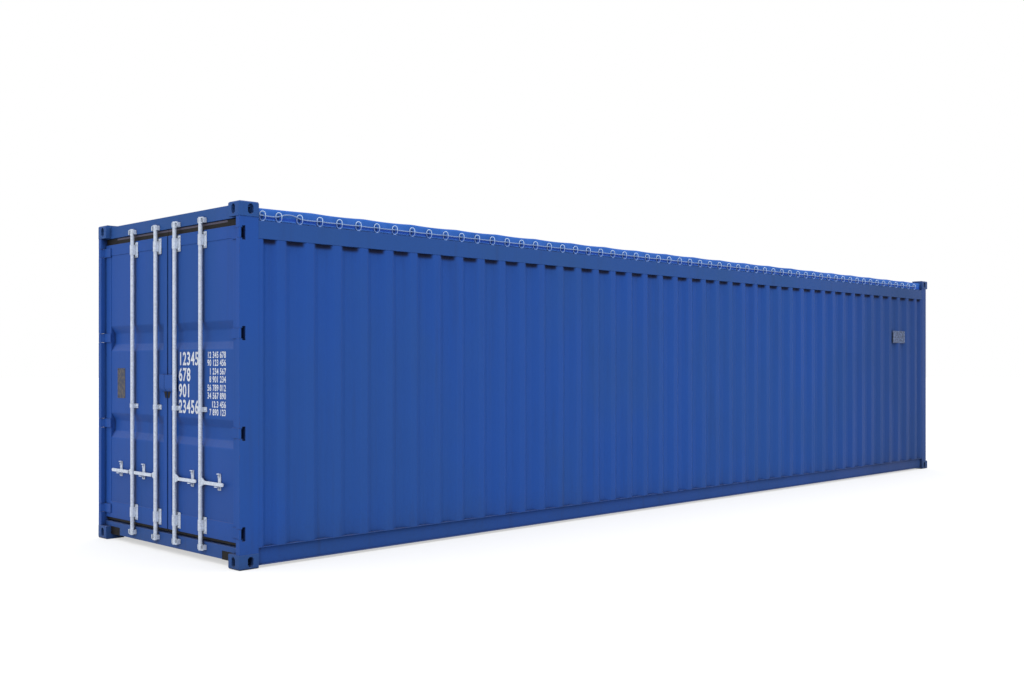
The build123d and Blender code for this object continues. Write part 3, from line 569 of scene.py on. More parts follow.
def coated_cloth():
    """Plastic coated polyester: a fine weave under the coat, creases and dust"""
    cloth = bpy.context.scene.container_cloth
    steel = bpy.context.scene.container_steel

    def fill(tree, place):
        weave = use(tree, strands_group(), Vector=place, Warp_Scale=105.0, Weft_Scale=105.0)["Height"]
        weather = use(tree, weather_group(), Vector=place)
        creases = noise(tree, stretch(tree, place, (1.0, 2.2, 1.0)), 7.0, 5.0, 0.62)
        pale = [min(1.0, channel * 1.25 + 0.02) for channel in cloth.cloth_colour]
        colour = tint(tree, ramp(tree, creases, 0.40, 0.66, 0.0, 0.5), rgb(cloth.cloth_colour), rgb(pale))
        colour = lay(tree, colour, steel.grime_colour, weather["Patches"], 0.14)
        colour = tint(tree, ramp(tree, weave, 0.2, 0.9, 0.0, 0.10), colour, rgb(pale))
        across, height = axes(tree, place)[1:]
        over = calc(tree, "SUBTRACT", height, shoulder_height())
        flap = ramp(tree, calc(tree, "ABSOLUTE", across), *FLAP)
        # Painted shade on the flap under the rope
        shade = times(tree, ramp(tree, over, *ROPE_SHADE_BOTTOM), ramp(tree, over, *ROPE_SHADE_TOP))
        colour = lay(tree, colour, cloth.shade_colour, times(tree, shade, flap), 0.75)
        hem = times(tree, ramp(tree, over, *HEM_TOP), flap)
        colour = lay(tree, colour, cloth.hem_colour, hem, 0.15)
        relief = calc(tree, "ADD", times(tree, weave, 0.06), creases)
        return colour, ramp(tree, weather["Patches"], 0.0, 1.0, 0.46, 0.62), relief, 0.005
    return material("Coated cloth", fill, {"Specular IOR Level": 0.06})


def slot_shade():
    """Painted shade that stands for the dark behind a slot in the cloth, with painted highlight where frayed
    threads catch the light
    """
    cloth = bpy.context.scene.container_cloth

    def fill(tree, place):
        threads = noise(tree, place, 160.0, 4.0, 0.6)
        dark = [channel * 0.28 + 0.006 for channel in cloth.cloth_colour]
        frayed = [channel * 0.55 for channel in cloth.cloth_colour]
        weather = use(tree, weather_group(), Vector=place)
        colour = tint(tree, ramp(tree, threads, 0.45, 0.75), rgb(dark), rgb(frayed))
        return colour, ramp(tree, weather["Patches"], 0.0, 1.0, 0.62, 0.80), threads, 0.0006
    return material("Slot shade", fill, {"Specular IOR Level": 0.06})


STRAND_SLANT = radians(38)
ROPE_DUST = (0.10, 0.09, 0.08)


def rope_cover():
    """Plastic covered cord: the laid strands show through as slanted ridges, with painted shade in the
    grooves between them
    """
    cloth = bpy.context.scene.container_cloth

    def fill(tree, place):
        turn = {"Vector": place, "Rotation": (0.0, STRAND_SLANT, STRAND_SLANT)}
        slanted = node(tree, "Mapping", None, turn).outputs[0]
        strands = use(tree, strands_group(), Vector=slanted, Warp_Scale=52.0, Weft_Scale=0.0)["Height"]
        weather = use(tree, weather_group(), Vector=place)
        dark = [channel * 0.6 for channel in cloth.rope_colour]
        # The grooves between the strands painted darker, as shade
        colour = tint(tree, ramp(tree, strands, 0.1, 0.6), rgb(dark), rgb(cloth.rope_colour))
        colour = lay(tree, colour, ROPE_DUST, weather["Dust"], 0.3)
        return colour, ramp(tree, strands, 0.0, 1.0, 0.42, 0.6), strands, 0.0012
    return material("Rope cover", fill)


def figure_paint():
    """White stencil paint, thin and rubbed"""
    marks = bpy.context.scene.container_markings
    steel = bpy.context.scene.container_steel

    def fill(tree, place):
        rubbed = noise(tree, place, 85.0, 6.0, 0.7)
        weather = use(tree, weather_group(), Vector=place)
        thin = ramp(tree, rubbed, 0.52, 0.72, 0.0, 0.55)
        colour = tint(tree, thin, rgb(marks.figure_colour), rgb(steel.faded_colour))
        colour = lay(tree, colour, steel.grime_colour, weather["Runs"], 0.25)
        return colour, ramp(tree, rubbed, 0.3, 0.7, 0.45, 0.6), rubbed, 0.0003
    return material("Figure paint", fill)


def plate_metal(name, bright, dull):
    """A bare riveted plate, mottled by weather"""
    def fill(tree, place):
        mottle = noise(tree, place, 38.0, 6.0, 0.68)
        weather = use(tree, weather_group(), Vector=place)
        colour = tint(tree, ramp(tree, mottle, 0.40, 0.60), rgb(bright), rgb(dull))
        colour = lay(tree, colour, dull, weather["Runs"], 0.30)
        return colour, ramp(tree, mottle, 0.35, 0.65, 0.42, 0.62), mottle, 0.0006
    return material(name, fill, {"Metallic": 0.25})


def body_of(name):
    """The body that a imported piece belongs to"""
    return next(body for body, members in BODIES.items() if name in members)


def place_piece(piece, surface, body, replaced=()):
    """Put a finished object in the scene, with its material, on its body"""
    bpy.context.scene.collection.objects.link(piece)
    piece.data.materials.append(surface)
    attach(piece, body)
    if replaced:
        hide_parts(*replaced)


def finish_piece(bm, name, surface, body, smooth_below=40.0, replaced=()):
    """Turn a bmesh into a piece that rides on a body, with its faces smooth up to an angle"""
    mesh = bpy.data.meshes.new(name)
    for face in bm.faces:
        face.smooth = True
    bm.to_mesh(mesh)
    bm.free()
    mesh.set_sharp_from_angle(angle=radians(smooth_below))
    piece = bpy.data.objects.new(name, mesh)
    place_piece(piece, surface, body, replaced)
    return piece


SAME_PLACE = 2e-5
SAME_PLANE = radians(0.6)
EDGE_ANGLES = (50.0, 180.0)
BEND_ANGLES = (15.0, 80.0)
BEND_STEPS = 3
RIM_STEPS = 4
ON_FACE = 1e-4


def merged_copy(name):
    """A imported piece's own shape as whole faces"""
    bm = bmesh.new()
    bm.from_mesh(frame["nodes"][name].data)
    bmesh.ops.remove_doubles(bm, verts=bm.verts, dist=SAME_PLACE)
    bmesh.ops.dissolve_limit(bm, angle_limit=SAME_PLANE, verts=bm.verts, edges=bm.edges)
    return bm


def bevel(bm, edges, width, segments):
    """Round some edges"""
    bmesh.ops.bevel(bm, geom=edges, offset=width, offset_type="OFFSET", affect="EDGES", segments=segments,
                    profile=0.5, clamp_overlap=True, material=-1)


def round_edges(bm, width, angles=EDGE_ANGLES, segments=2):
    """Bevel every edge whose two faces meet at an angle between two limits"""
    low, high = (radians(angle) for angle in angles)
    bevel(bm, [edge for edge in bm.edges if edge.is_manifold and low < edge.calc_face_angle() < high], width,
          segments)


def round_rim(bm, width):
    """Bevel the castings' outer edges on the side where another container or the ground meets them"""
    end = max(vert.co.x for vert in bm.verts)
    side = max(vert.co.y for vert in bm.verts)
    heights = [vert.co.z for vert in bm.verts]
    rim = max(heights) if min(heights) > 1.0 else min(heights)

    def outermost(vert):
        outside = abs(vert.co.x) > end - ON_FACE or abs(vert.co.y) > side - ON_FACE
        return outside and abs(vert.co.z - rim) < ON_FACE
    bevel(bm, [edge for edge in bm.edges if all(outermost(vert) for vert in edge.verts)], width, RIM_STEPS)


def islands(name):
    """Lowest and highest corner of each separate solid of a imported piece"""
    bm = merged_copy(name)
    left = set(bm.verts)
    found = []
    while left:
        front = [left.pop()]
        solid = list(front)
        while front:
            vert = front.pop()
            for other in (edge.other_vert(vert) for edge in vert.link_edges):
                if other in left:
                    left.discard(other)
                    front.append(other)
                    solid.append(other)
        ends = [[pick(vert.co[axis] for vert in solid) for axis in range(3)] for pick in (min, max)]
        found.append([Vector(end) for end in ends])
    bm.free()
    return found


def flatten_shading(piece):
    """Keep wide faces flat in the light, so that only their rounded edges turn"""
    weighted = piece.modifiers.new("Weighted normals", "WEIGHTED_NORMAL")
    weighted.mode = "FACE_AREA"
    weighted.weight = 80
    weighted.keep_sharp = True


def dress(names, surface, width, angles=EDGE_ANGLES, segments=2, rim=0.0):
    """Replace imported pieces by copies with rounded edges"""
    for name in names:
        bm = merged_copy(name)
        if rim > 0:
            round_rim(bm, rim)
        round_edges(bm, width, angles, segments)
        piece = finish_piece(bm, name + "_finished", surface(), body_of(name), 60.0, (name,))
        flatten_shading(piece)


class CONTAINER_OT_frame(bpy.types.Operator):
    """Round and paint the posts, rails, beams, door frames and hinges"""

    bl_idname = "container.frame"
    bl_label = "Frame"

    def execute(self, context):
        steel = context.scene.container_steel
        dress(FRAME_STEEL, frame_paint, steel.frame_edge)
        dress(BEAMS, beam_paint, steel.frame_edge)
        dress(THIN_STEEL, frame_paint, steel.thin_edge)
        dress(HINGES, frame_paint, steel.gear_edge)
        return {"FINISHED"}


class CONTAINER_OT_sheets(bpy.types.Operator):
    """Give the corrugated walls and door panels their rolled bends and paint"""

    bl_idname = "container.sheets"
    bl_label = "Wall sheets"

    def execute(self, context):
        bend = context.scene.container_steel.bend_round
        dress(SIDE_SHEETS, side_paint, bend, BEND_ANGLES, BEND_STEPS)
        dress(SHEETS, sheet_paint, bend, BEND_ANGLES, BEND_STEPS)
        return {"FINISHED"}


class CONTAINER_OT_castings(bpy.types.Operator):
    """Round and paint the eight corner castings"""

    bl_idname = "container.castings"
    bl_label = "Corner castings"

    def execute(self, context):
        steel = context.scene.container_steel
        dress(CASTINGS, casting_paint, steel.casting_edge, rim=steel.casting_corner)
        return {"FINISHED"}


class CONTAINER_OT_door_gear(bpy.types.Operator):
    """Plate the lock bars, handles, brackets, catches and keepers"""

    bl_idname = "container.door_gear"
    bl_label = "Door gear"

    def execute(self, context):
        dress(DOOR_GEAR, gear_zinc, context.scene.container_steel.gear_edge)
        return {"FINISHED"}


# Sides, radius, foot and top of the washer and of the bolt's head
BOLT_STEPS = ((12, 0.0125, 0.0, 0.0025), (6, 0.0095, 0.0025, 0.0095))
BOLT_TAPER = 0.94
BRACKET_PLATE = 0.004
TALL_BRACKET = 0.08
BRACKET_BOLT_ACROSS = 0.043
BRACKET_BOLT_DROPS = (-0.052, 0.052)
CATCH_BOLT_LOW = 0.014
CATCH_BOLT_HIGH = 0.024


def add_disc(bm, sides, foot, top, height, matrix):
    """A closed disc or cone between two radii"""
    bmesh.ops.create_cone(bm, cap_ends=True, segments=sides, radius1=foot, radius2=top, depth=height,
                          matrix=matrix)


def add_bolt(bm, x, y, z):
    """A hexagon head on its washer, facing away from the door"""
    turn = Matrix.Rotation(radians(-90), 4, "Y")
    for sides, radius, low, high in BOLT_STEPS:
        place = Matrix.Translation((x - (low + high) / 2, y, z)) @ turn
        add_disc(bm, sides, radius, radius * BOLT_TAPER, high - low, place)


class CONTAINER_OT_fittings(bpy.types.Operator):
    """Bolts through the brackets, guides and catches of both doors"""

    bl_idname = "container.fittings"
    bl_label = "Bolts"

    def execute(self, context):
        for side in SIDES:
            bm = bmesh.new()
            front = corners(f"door_frame_{side}")[0].x - BRACKET_PLATE
            for low, high in islands(f"bar_brackets_{side}"):
                middle = (low + high) / 2
                drops = BRACKET_BOLT_DROPS if high.z - low.z > TALL_BRACKET else (0.0,)
                for way in (-1, 1):
                    for drop in drops:
                        add_bolt(bm, front, middle.y + way * BRACKET_BOLT_ACROSS, middle.z + drop)
            for low, high in islands(f"handle_catches_{side}"):
                middle = (low.y + high.y) / 2
                add_bolt(bm, front, middle, low.z + CATCH_BOLT_LOW)
                add_bolt(bm, front, middle, high.z - CATCH_BOLT_HIGH)
            finish_piece(bm, f"bolts_{side}", gear_zinc(), f"{side}_door", 30.0)
        return {"FINISHED"}


def add_box(bm, low, high):
    """A plain block between two corners; gives its centre and its size"""
    centre = (Vector(low) + Vector(high)) / 2
    size = Vector(high) - Vector(low)
    bmesh.ops.create_cube(bm, size=1.0, matrix=Matrix.Translation(centre) @ Matrix.Diagonal((*size, 1.0)))
    return centre, size


def fresh_verts(parts):
    """The vertices among the parts that an operator gives back"""
    return [part for part in parts if isinstance(part, bmesh.types.BMVert)]


def fresh_edges(parts):
    """The edges among the parts that an operator gives back"""
    return [part for part in parts if isinstance(part, bmesh.types.BMEdge)]


def add_patch(bm, x, outline, thickness):
    """A thin sheet on the door, cut to an outline of side places and heights"""
    face = bm.faces.new([bm.verts.new((x, y, z)) for y, z in outline])
    raised = bmesh.ops.extrude_face_region(bm, geom=[face])["geom"]
    bmesh.ops.translate(bm, verts=fresh_verts(raised), vec=(thickness, 0, 0))
    bmesh.ops.recalc_face_normals(bm, faces=bm.faces)


PLATE_FRONT = 0.002
PLATE_BACK = 0.001
RIVET_INSET = 0.012
RIVET_RADIUS = 0.004
# Two corners of each plate: side place and height on the door, distance from the rear and height on the side
DOOR_PLATE = ((0.782, 1.306), (0.929, 1.578))
SIDE_PLATE = ((11.044, 1.930), (11.435, 2.109))
CASTING_WIDTH = 0.162
NOTCH_LENGTH = 0.175
NOTCH_TOP = 0.118
SHADE_PLATE_FRONT = 0.002
SHADE_PLATE_BACK = 0.007
SHADE_PLATE_DROP = 0.003
# Outline of half the dark rubber flap that paints the shade under the seam cover, from the seam between the
# doors and down from the seam cover
SEAM_SHADE_FLAP = ((0.011, 0.0), (0.058, 0.0), (0.036, -0.055), (0.011, -0.055))
SEAM_SHADE_FLAP_PROUD = 0.0012
SEAM_SHADE_FLAP_THICKNESS = 0.001
SEAM_SHADE_FLAP_GAP = 0.002


def add_plate(bm, low, high):
    """A thin plate between two corners, and a rivet near each of its corners"""
    centre, size = add_box(bm, low, high)
    thin = min(range(3), key=lambda axis: size[axis])
    first, second = [axis for axis in range(3) if axis != thin]
    for a in (-1, 1):
        for b in (-1, 1):
            spot = centre.copy()
            spot[first] += a * (size[first] / 2 - RIVET_INSET)
            spot[second] += b * (size[second] / 2 - RIVET_INSET)
            spot[thin] = low[thin]
            place = Matrix.Translation(spot)
            bmesh.ops.create_icosphere(bm, subdivisions=2, radius=RIVET_RADIUS, matrix=place)


class CONTAINER_OT_plates(bpy.types.Operator):
    """The riveted plates, and the dark plates behind the sill's notches and dark flaps under the seam cover,
    which paint the shade there
    """

    bl_idname = "container.plates"
    bl_label = "Plates"

    def execute(self, context):
        marks = context.scene.container_markings
        grime = context.scene.container_steel.grime_colour
        face = corners("door_panel_left")[0].x
        (near, bottom), (far, top) = DOOR_PLATE
        bm = bmesh.new()
        add_plate(bm, (face - PLATE_FRONT, near, bottom), (face + PLATE_BACK, far, top))
        finish_piece(bm, "door_plate", plate_metal("Dull plate", marks.dull_plate, grime), "left_door",
                     30.0)
        face = corners("side_wall_right")[0].y
        start = corners("bottom_corner_castings")[0].x
        (near, bottom), (far, top) = SIDE_PLATE
        bm = bmesh.new()
        add_plate(bm, (start + near, face - PLATE_FRONT, bottom), (start + far, face + PLATE_BACK, top))
        finish_piece(bm, "side_plate", plate_metal("Bare plate", marks.bare_plate, grime), "container",
                     30.0)
        self.add_notch_shade_plates()
        self.add_seam_shade_flaps()
        return {"FINISHED"}

    def add_notch_shade_plates(self):
        """A plate behind each notch of the sill, in black rubber that paints the shade there"""
        bm = bmesh.new()
        sill = corners("door_sill")[0]
        inside = corners("bottom_corner_castings")[1].y - CASTING_WIDTH
        for sign in (-1, 1):
            near, far = sorted((sign * (inside - NOTCH_LENGTH), sign * inside))
            low = (sill.x + SHADE_PLATE_FRONT, near, sill.z - SHADE_PLATE_DROP)
            add_box(bm, low, (sill.x + SHADE_PLATE_BACK, far, NOTCH_TOP))
        finish_piece(bm, "sill_notch_shade_plates", seal_rubber(), "container", 30.0)

    def add_seam_shade_flaps(self):
        """Half a dark rubber flap on each door, painting the shade under the seam cover"""
        top = corners("seam_cover_right")[0].z - SEAM_SHADE_FLAP_GAP
        for side, sign in SIDES.items():
            bm = bmesh.new()
            face = corners(f"door_frame_{side}")[0].x - SEAM_SHADE_FLAP_PROUD
            add_patch(bm, face, [(sign * y, top + z) for y, z in SEAM_SHADE_FLAP], SEAM_SHADE_FLAP_THICKNESS)
            finish_piece(bm, f"seam_shade_flap_{side}", seal_rubber(), f"{side}_door", 30.0)


class CONTAINER_OT_seals(bpy.types.Operator):
    """Rubber round both doors"""

    bl_idname = "container.seals"
    bl_label = "Door seals"

    def execute(self, context):
        dress(both("door_seal"), seal_rubber, context.scene.container_steel.thin_edge)
        return {"FINISHED"}


class CONTAINER_OT_underside(bpy.types.Operator):
    """Coat the cross members and the tunnel, and finish the floor boards and the roof bows"""

    bl_idname = "container.underside"
    bl_label = "Underside, floor and bows"

    def execute(self, context):
        steel = context.scene.container_steel
        dress(UNDERSIDE, underside_coat, steel.thin_edge, segments=1)
        dress(["floor_boards"], floor_wood, steel.gear_edge)
        dress(["roof_bows"], gear_zinc, steel.frame_edge)
        return {"FINISHED"}


def ring_places(cloth):
    """Middle of each lashing ring along the container"""
    start, end = (corner.x for corner in corners("top_side_rail_right"))
    places = [start + cloth.ring_first]
    x = start + cloth.ring_row_start
    while x < end - cloth.ring_end_margin:
        places.append(x)
        x += cloth.ring_pitch
    return places


def bow_places():
    """Middle of each roof bow along the container, read from the frame's bows"""
    bows = merged_copy("roof_bows")
    found = sorted({round(vert.co.x, 4) for vert in bows.verts})
    bows.free()
    return [(found[i] + found[i + 1]) / 2 for i in range(0, len(found), 2)]


def shoulder_height():
    """Top of the rail's shoulder, on which the rings stand"""
    return corners("lashing_rings_right")[0].z


CLOTH_FLAP_STEPS = 6
CLOTH_ROOF_STEPS = 30
CLOTH_STEPS_PER_METRE = 30
EDGE_OVER_BOW_FOOT = 0.0335
EDGE_ROUND = 0.012
CROWN_HALF_WIDTH = 0.42
CROWN_POWER = 1.6
SLACK_SPREAD = 2.2
HALF_BOW = 0.020
RIPPLE = 0.0016
RIPPLE_ALONG = 3.1
RIPPLE_ACROSS = 2.3
HEM_RISE = 0.004
HEM_SHARE = 0.4


def cloth_profile(cloth):
    """Sheet stations from the right hem over the roof to the left hem: side place, height and slackness"""
    low, high = corners("tarpaulin")
    outside = high.y - cloth.thickness
    edge = corners("roof_bows")[0].z + EDGE_OVER_BOW_FOOT
    bend = edge - EDGE_ROUND
    crown = high.z - cloth.thickness - edge
    roof = outside - EDGE_ROUND
    stations = [(-outside, low.z + (bend - low.z) * i / (CLOTH_FLAP_STEPS - 1), 0.0)
                for i in range(CLOTH_FLAP_STEPS)]
    for turn in (radians(30), radians(60)):
        stations.append((-outside + EDGE_ROUND * (1 - cos(turn)), bend + EDGE_ROUND * sin(turn), 0.0))
    for i in range(CLOTH_ROOF_STEPS + 1):
        y = -roof + 2 * roof * i / CLOTH_ROOF_STEPS
        rise = min(1.0, (roof - abs(y)) / (roof - CROWN_HALF_WIDTH))
        stations.append((y, edge + crown * (1 - (1 - rise) ** CROWN_POWER), min(1.0, rise * SLACK_SPREAD)))
    stations += [(-y, z, slack) for y, z, slack in reversed(stations[:CLOTH_FLAP_STEPS + 2])]
    return stations


def cloth_point(cloth, x, station, bows, rings, lift=0.0):
    """Where one point of the cloth comes to rest: level over a bow, sunk between two, waved on the flap"""
    y, z, slack = station
    low, high = corners("tarpaulin")
    nearest = min(bows, key=lambda bow: abs(bow - x))
    others = [bow for bow in bows if (bow - x) * (nearest - x) < 0]
    end = low.x if x < 0 else high.x
    other = min(others, key=lambda bow: abs(bow - x)) if others else 2 * end - nearest
    bay = abs(other - nearest)
    part = min(1.0, max(0.0, (abs(x - nearest) - HALF_BOW) / (bay - 2 * HALF_BOW)))
    sunk = cloth.sag * slack + cloth.edge_dip * (1 - slack)
    top = (z - low.z) / (high.z - low.z)
    z -= 4 * part * (1 - part) * sunk * (1.0 if slack > 0 else top)
    z += RIPPLE * sin(x * RIPPLE_ALONG + y * RIPPLE_ACROSS) * slack
    if slack > 0:
        return Vector((x, y, z)) + Vector((0, 0, lift))
    ring = min(rings, key=lambda place: abs(place - x))
    off = min(1.0, abs(x - ring) / (cloth.ring_pitch / 2))
    swell = cloth.flap_wave * sin(off * pi) * (1 - top)
    z += HEM_RISE * sin(off * pi / 2) * (1 - top) ** 2
    outward = 1 if y > 0 else -1
    return Vector((x, y + swell * outward, z)) + Vector((0, outward * lift, 0))


def shape_cloth(bm, cloth, start, end, stations, bows, rings, lift=0.0):
    """Add a flat grid to a bmesh and lay it over the bows between two places along the container"""
    along = max(1, round((end - start) * CLOTH_STEPS_PER_METRE))
    across = len(stations) - 1
    made = bmesh.ops.create_grid(bm, x_segments=along, y_segments=across, size=0.5)
    for vert in made["verts"]:
        x = start + (end - start) * (vert.co.x + 0.5)
        station = stations[round((vert.co.y + 0.5) * across)]
        vert.co = cloth_point(cloth, x, station, bows, rings, lift)


class CONTAINER_OT_tarpaulin(bpy.types.Operator):
    """Lay the tarpaulin over the bows, with its welded seams and hems"""

    bl_idname = "container.tarpaulin"
    bl_label = "Tarpaulin"

    def execute(self, context):
        cloth = context.scene.container_cloth
        start, end = (corner.x for corner in corners("tarpaulin"))
        bows = bow_places()
        rings = ring_places(cloth)
        stations = cloth_profile(cloth)
        bm = bmesh.new()
        shape_cloth(bm, cloth, start, end, stations, bows, rings)
        sheet = self.sew(bm, "tarpaulin_sheet", cloth, ("tarpaulin",))
        bm = bmesh.new()
        for i in range(cloth.seam_count):
            middle = start + (end - start) * (i + 1) / (cloth.seam_count + 1)
            half = cloth.seam_width / 2
            shape_cloth(bm, cloth, middle - half, middle + half, stations, bows, rings, cloth.thickness)
        hem_steps = max(2, round(CLOTH_FLAP_STEPS * HEM_SHARE))
        for strip in (stations[:hem_steps], stations[-hem_steps:]):
            shape_cloth(bm, cloth, start, end, strip, bows, rings, cloth.thickness)
        hems = self.sew(bm, "tarpaulin_hems", cloth, ())
        pairs = zip(stations, stations[1:])
        width = sum((Vector(there[:2]) - Vector(here[:2])).length for here, there in pairs)
        return {"FINISHED"}

    def sew(self, bm, name, cloth, replaced):
        """A piece of cloth with half its thickness on each side of its sheet"""
        piece = finish_piece(bm, name, coated_cloth(), "container", 80.0, replaced)
        solid = piece.modifiers.new("Thickness", "SOLIDIFY")
        solid.thickness = cloth.thickness
        solid.offset = 0.0
        return piece


RING_WIRE_SIDES = 5
RING_ARCH_STEPS = 5
WELD_SIDES = 6
WELD_FOOT = 0.5
WELD_TOP = 0.3
WELD_SIZE = (0.036, 0.020, 0.006)
SLOT_SIDES = 12
SLOT_SIZE = (0.009, 0.023, 0.0008)
SLOT_AHEAD = 0.006
SLOT_PROUD = 0.0006


def half_turn(bm, edges, height):
    """Spin an open end of wire half a turn about the ring's middle line; gives the new open end"""
    spun = bmesh.ops.spin(bm, geom=edges, cent=(0, 0, height), axis=(0, -1, 0), angle=pi,
                          steps=RING_ARCH_STEPS, use_duplicate=False)
    return fresh_edges(spun["geom_last"])


def draw_wire(bm, edges, rise):
    """Pull an open end of wire straight up or down; gives the new open end"""
    pulled = bmesh.ops.extrude_edge_only(bm, edges=edges)["geom"]
    bmesh.ops.translate(bm, verts=fresh_verts(pulled), vec=(0, 0, rise))
    return fresh_edges(pulled)


def place_new(bm, matrix):
    """Move what was made since the last call to its place"""
    fresh = [vert for vert in bm.verts if not vert.tag]
    bmesh.ops.transform(bm, verts=fresh, matrix=matrix)
    for vert in fresh:
        vert.tag = True


def add_ring(bm, cloth, place):
    """One closed oval of wire that stands on the rail, and the weld round its foot"""
    half = cloth.ring_half_span
    low = half + cloth.ring_wire / 2
    high = cloth.ring_height - low
    bmesh.ops.create_circle(bm, segments=RING_WIRE_SIDES, radius=cloth.ring_wire / 2,
                            matrix=Matrix.Translation((half, 0, low)))
    edges = [edge for edge in bm.edges if not edge.verts[0].tag]
    edges = half_turn(bm, draw_wire(bm, edges, high - low), high)
    half_turn(bm, draw_wire(bm, edges, low - high), low)
    bmesh.ops.remove_doubles(bm, verts=[vert for vert in bm.verts if not vert.tag], dist=1e-5)
    shape = Matrix.Translation((0, 0, WELD_SIZE[2] / 2)) @ Matrix.Diagonal((*WELD_SIZE, 1.0))
    add_disc(bm, WELD_SIDES, WELD_FOOT, WELD_TOP, 1.0, shape)
    place_new(bm, place)


def add_slot(bm, place):
    """A thin disc of painted shade on the cloth behind one ring, standing for a slot"""
    shape = Matrix.Translation((SLOT_AHEAD, 0, SLOT_PROUD)) @ Matrix.Diagonal((*SLOT_SIZE, 1.0))
    add_disc(bm, SLOT_SIDES, 1.0, 1.0, 1.0, shape)
    place_new(bm, place)


class CONTAINER_OT_rings(bpy.types.Operator):
    """Stand the lashing rings on both rails, each before a disc of painted shade that stands for a slot in
    the cloth
    """

    bl_idname = "container.rings"
    bl_label = "Lashing rings"

    def execute(self, context):
        cloth = context.scene.container_cloth
        base = shoulder_height()
        outside = corners("tarpaulin")[1].y + cloth.thickness
        for side, sign in SIDES.items():
            name = f"lashing_rings_{side}"
            low, high = corners(name)
            turn = Matrix.Rotation(sign * cloth.ring_angle, 4, "Z")
            bm = bmesh.new()
            for x in ring_places(cloth):
                add_ring(bm, cloth, Matrix.Translation((x, (low.y + high.y) / 2, base)) @ turn)
            bmesh.ops.recalc_face_normals(bm, faces=bm.faces)
            finish_piece(bm, f"round_{name}", ring_zinc(), "container", 80.0, (name,))
            turn = Matrix.Rotation(radians(90) * -sign, 4, "X")
            bm = bmesh.new()
            for x in ring_places(cloth):
                add_slot(bm, Matrix.Translation((x, sign * outside, base + cloth.ring_height / 2)) @ turn)
            finish_piece(bm, f"slot_shade_discs_{side}", slot_shade(), "container")
        return {"FINISHED"}


SLACK_BAY = 1
BAY_BENDS = (0.3, 0.7)


class CONTAINER_OT_ropes(bpy.types.Operator):
    """Run a rope through the rings along each side, a little slack between them"""

    bl_idname = "container.ropes"
    bl_label = "Ropes"

    def execute(self, context):
        cloth = context.scene.container_cloth
        places = ring_places(cloth)
        height = shoulder_height() + cloth.rope_height
        for side in SIDES:
            name = f"tarpaulin_rope_{side}"
            low, high = corners(name)
            route = [(places[0] - cloth.rope_overrun, 0.0)]
            for i, (here, there) in enumerate(zip(places, places[1:])):
                sag = -cloth.rope_slack if i == SLACK_BAY and side == "right" else cloth.rope_sag
                route.append((here, 0.0))
                route += [(here + (there - here) * share, sag) for share in BAY_BENDS]
            route += [(places[-1], 0.0), (places[-1] + cloth.rope_overrun, 0.0)]
            curve = bpy.data.curves.new(name + "_laid", "CURVE")
            curve.dimensions = "3D"
            curve.bevel_depth = cloth.rope_diameter / 2
            curve.bevel_resolution = 2
            curve.resolution_u = 3
            curve.use_fill_caps = True
            spline = curve.splines.new("NURBS")
            spline.points.add(len(route) - 1)
            for point, (x, sag) in zip(spline.points, route):
                point.co = (x, (low.y + high.y) / 2, height - sag, 1.0)
            spline.order_u = 3
            spline.use_endpoint_u = True
            rope = bpy.data.objects.new(name + "_laid", curve)
            place_piece(rope, rope_cover(), "container", (name,))
        return {"FINISHED"}


FIGURE_BOLD = 0.032
FIGURE_WIDTH = 0.78
FIGURE_SPACING = 1.12
FIGURE_DEPTH = 0.0002
FIGURE_PROUD = 0.0004
FIGURE_SHARE_OF_SIZE = 0.70
SMALL_ROW_GAP = 0.014
FIGURE_ROWS = (
    ("12345", ("12 345 678", "90 123 456")),
    ("678", ("1 234 567", "8 901 234")),
    ("901", ("56 789 012", "34 567 890")),
    ("23456", ("12.3 456", "7 890 123")),
)


def add_figures(bm, text, height, edge, bottom, face, align="LEFT"):
    """Plain painted figures on the right door, read from outside"""
    curve = bpy.data.curves.new("figures", "FONT")
    curve.body = text
    curve.size = height / FIGURE_SHARE_OF_SIZE
    curve.extrude = FIGURE_DEPTH
    curve.offset = height * FIGURE_BOLD
    curve.space_character = FIGURE_SPACING
    curve.align_x = align
    carrier = bpy.data.objects.new("figures", curve)
    mesh = bpy.data.meshes.new_from_object(carrier)
    mesh.transform(Matrix(((0, 0, -1, face), (-FIGURE_WIDTH, 0, 0, edge), (0, 1, 0, bottom), (0, 0, 0, 1))))
    bm.from_mesh(mesh)
    bpy.data.objects.remove(carrier)
    bpy.data.curves.remove(curve)
    bpy.data.meshes.remove(mesh)


class CONTAINER_OT_markings(bpy.types.Operator):
    """Paint rows of plain figures on the right door"""

    bl_idname = "container.markings"
    bl_label = "Markings"

    def execute(self, context):
        marks = context.scene.container_markings
        face = corners("door_panel_right")[0].x - FIGURE_PROUD
        left = corners("bottom_corner_castings")[0].y + marks.block_left
        small_height = marks.small_height
        bm = bmesh.new()
        for i, (large, small) in enumerate(FIGURE_ROWS):
            top = marks.block_top - marks.row_pitch * i
            add_figures(bm, large, marks.large_height, left, top - marks.large_height, face)
            for j, line in enumerate(small):
                drop = small_height + j * (small_height + SMALL_ROW_GAP)
                add_figures(bm, line, small_height, left - marks.column_gap, top - drop, face, "RIGHT")
        bmesh.ops.remove_doubles(bm, verts=bm.verts, dist=1e-6)
        finish_piece(bm, "door_figures", figure_paint(), "right_door", 30.0)
        return {"FINISHED"}


FLOOR_DROP = 0.0005
KEY_FROM = (-0.62, -0.60, 0.75)
SKY_COLOUR = (0.97, 0.985, 1.0)
WHITE = (1.0, 1.0, 1.0)
SENSOR_WIDTH = 36.0
FAR_LIMIT = 400.0


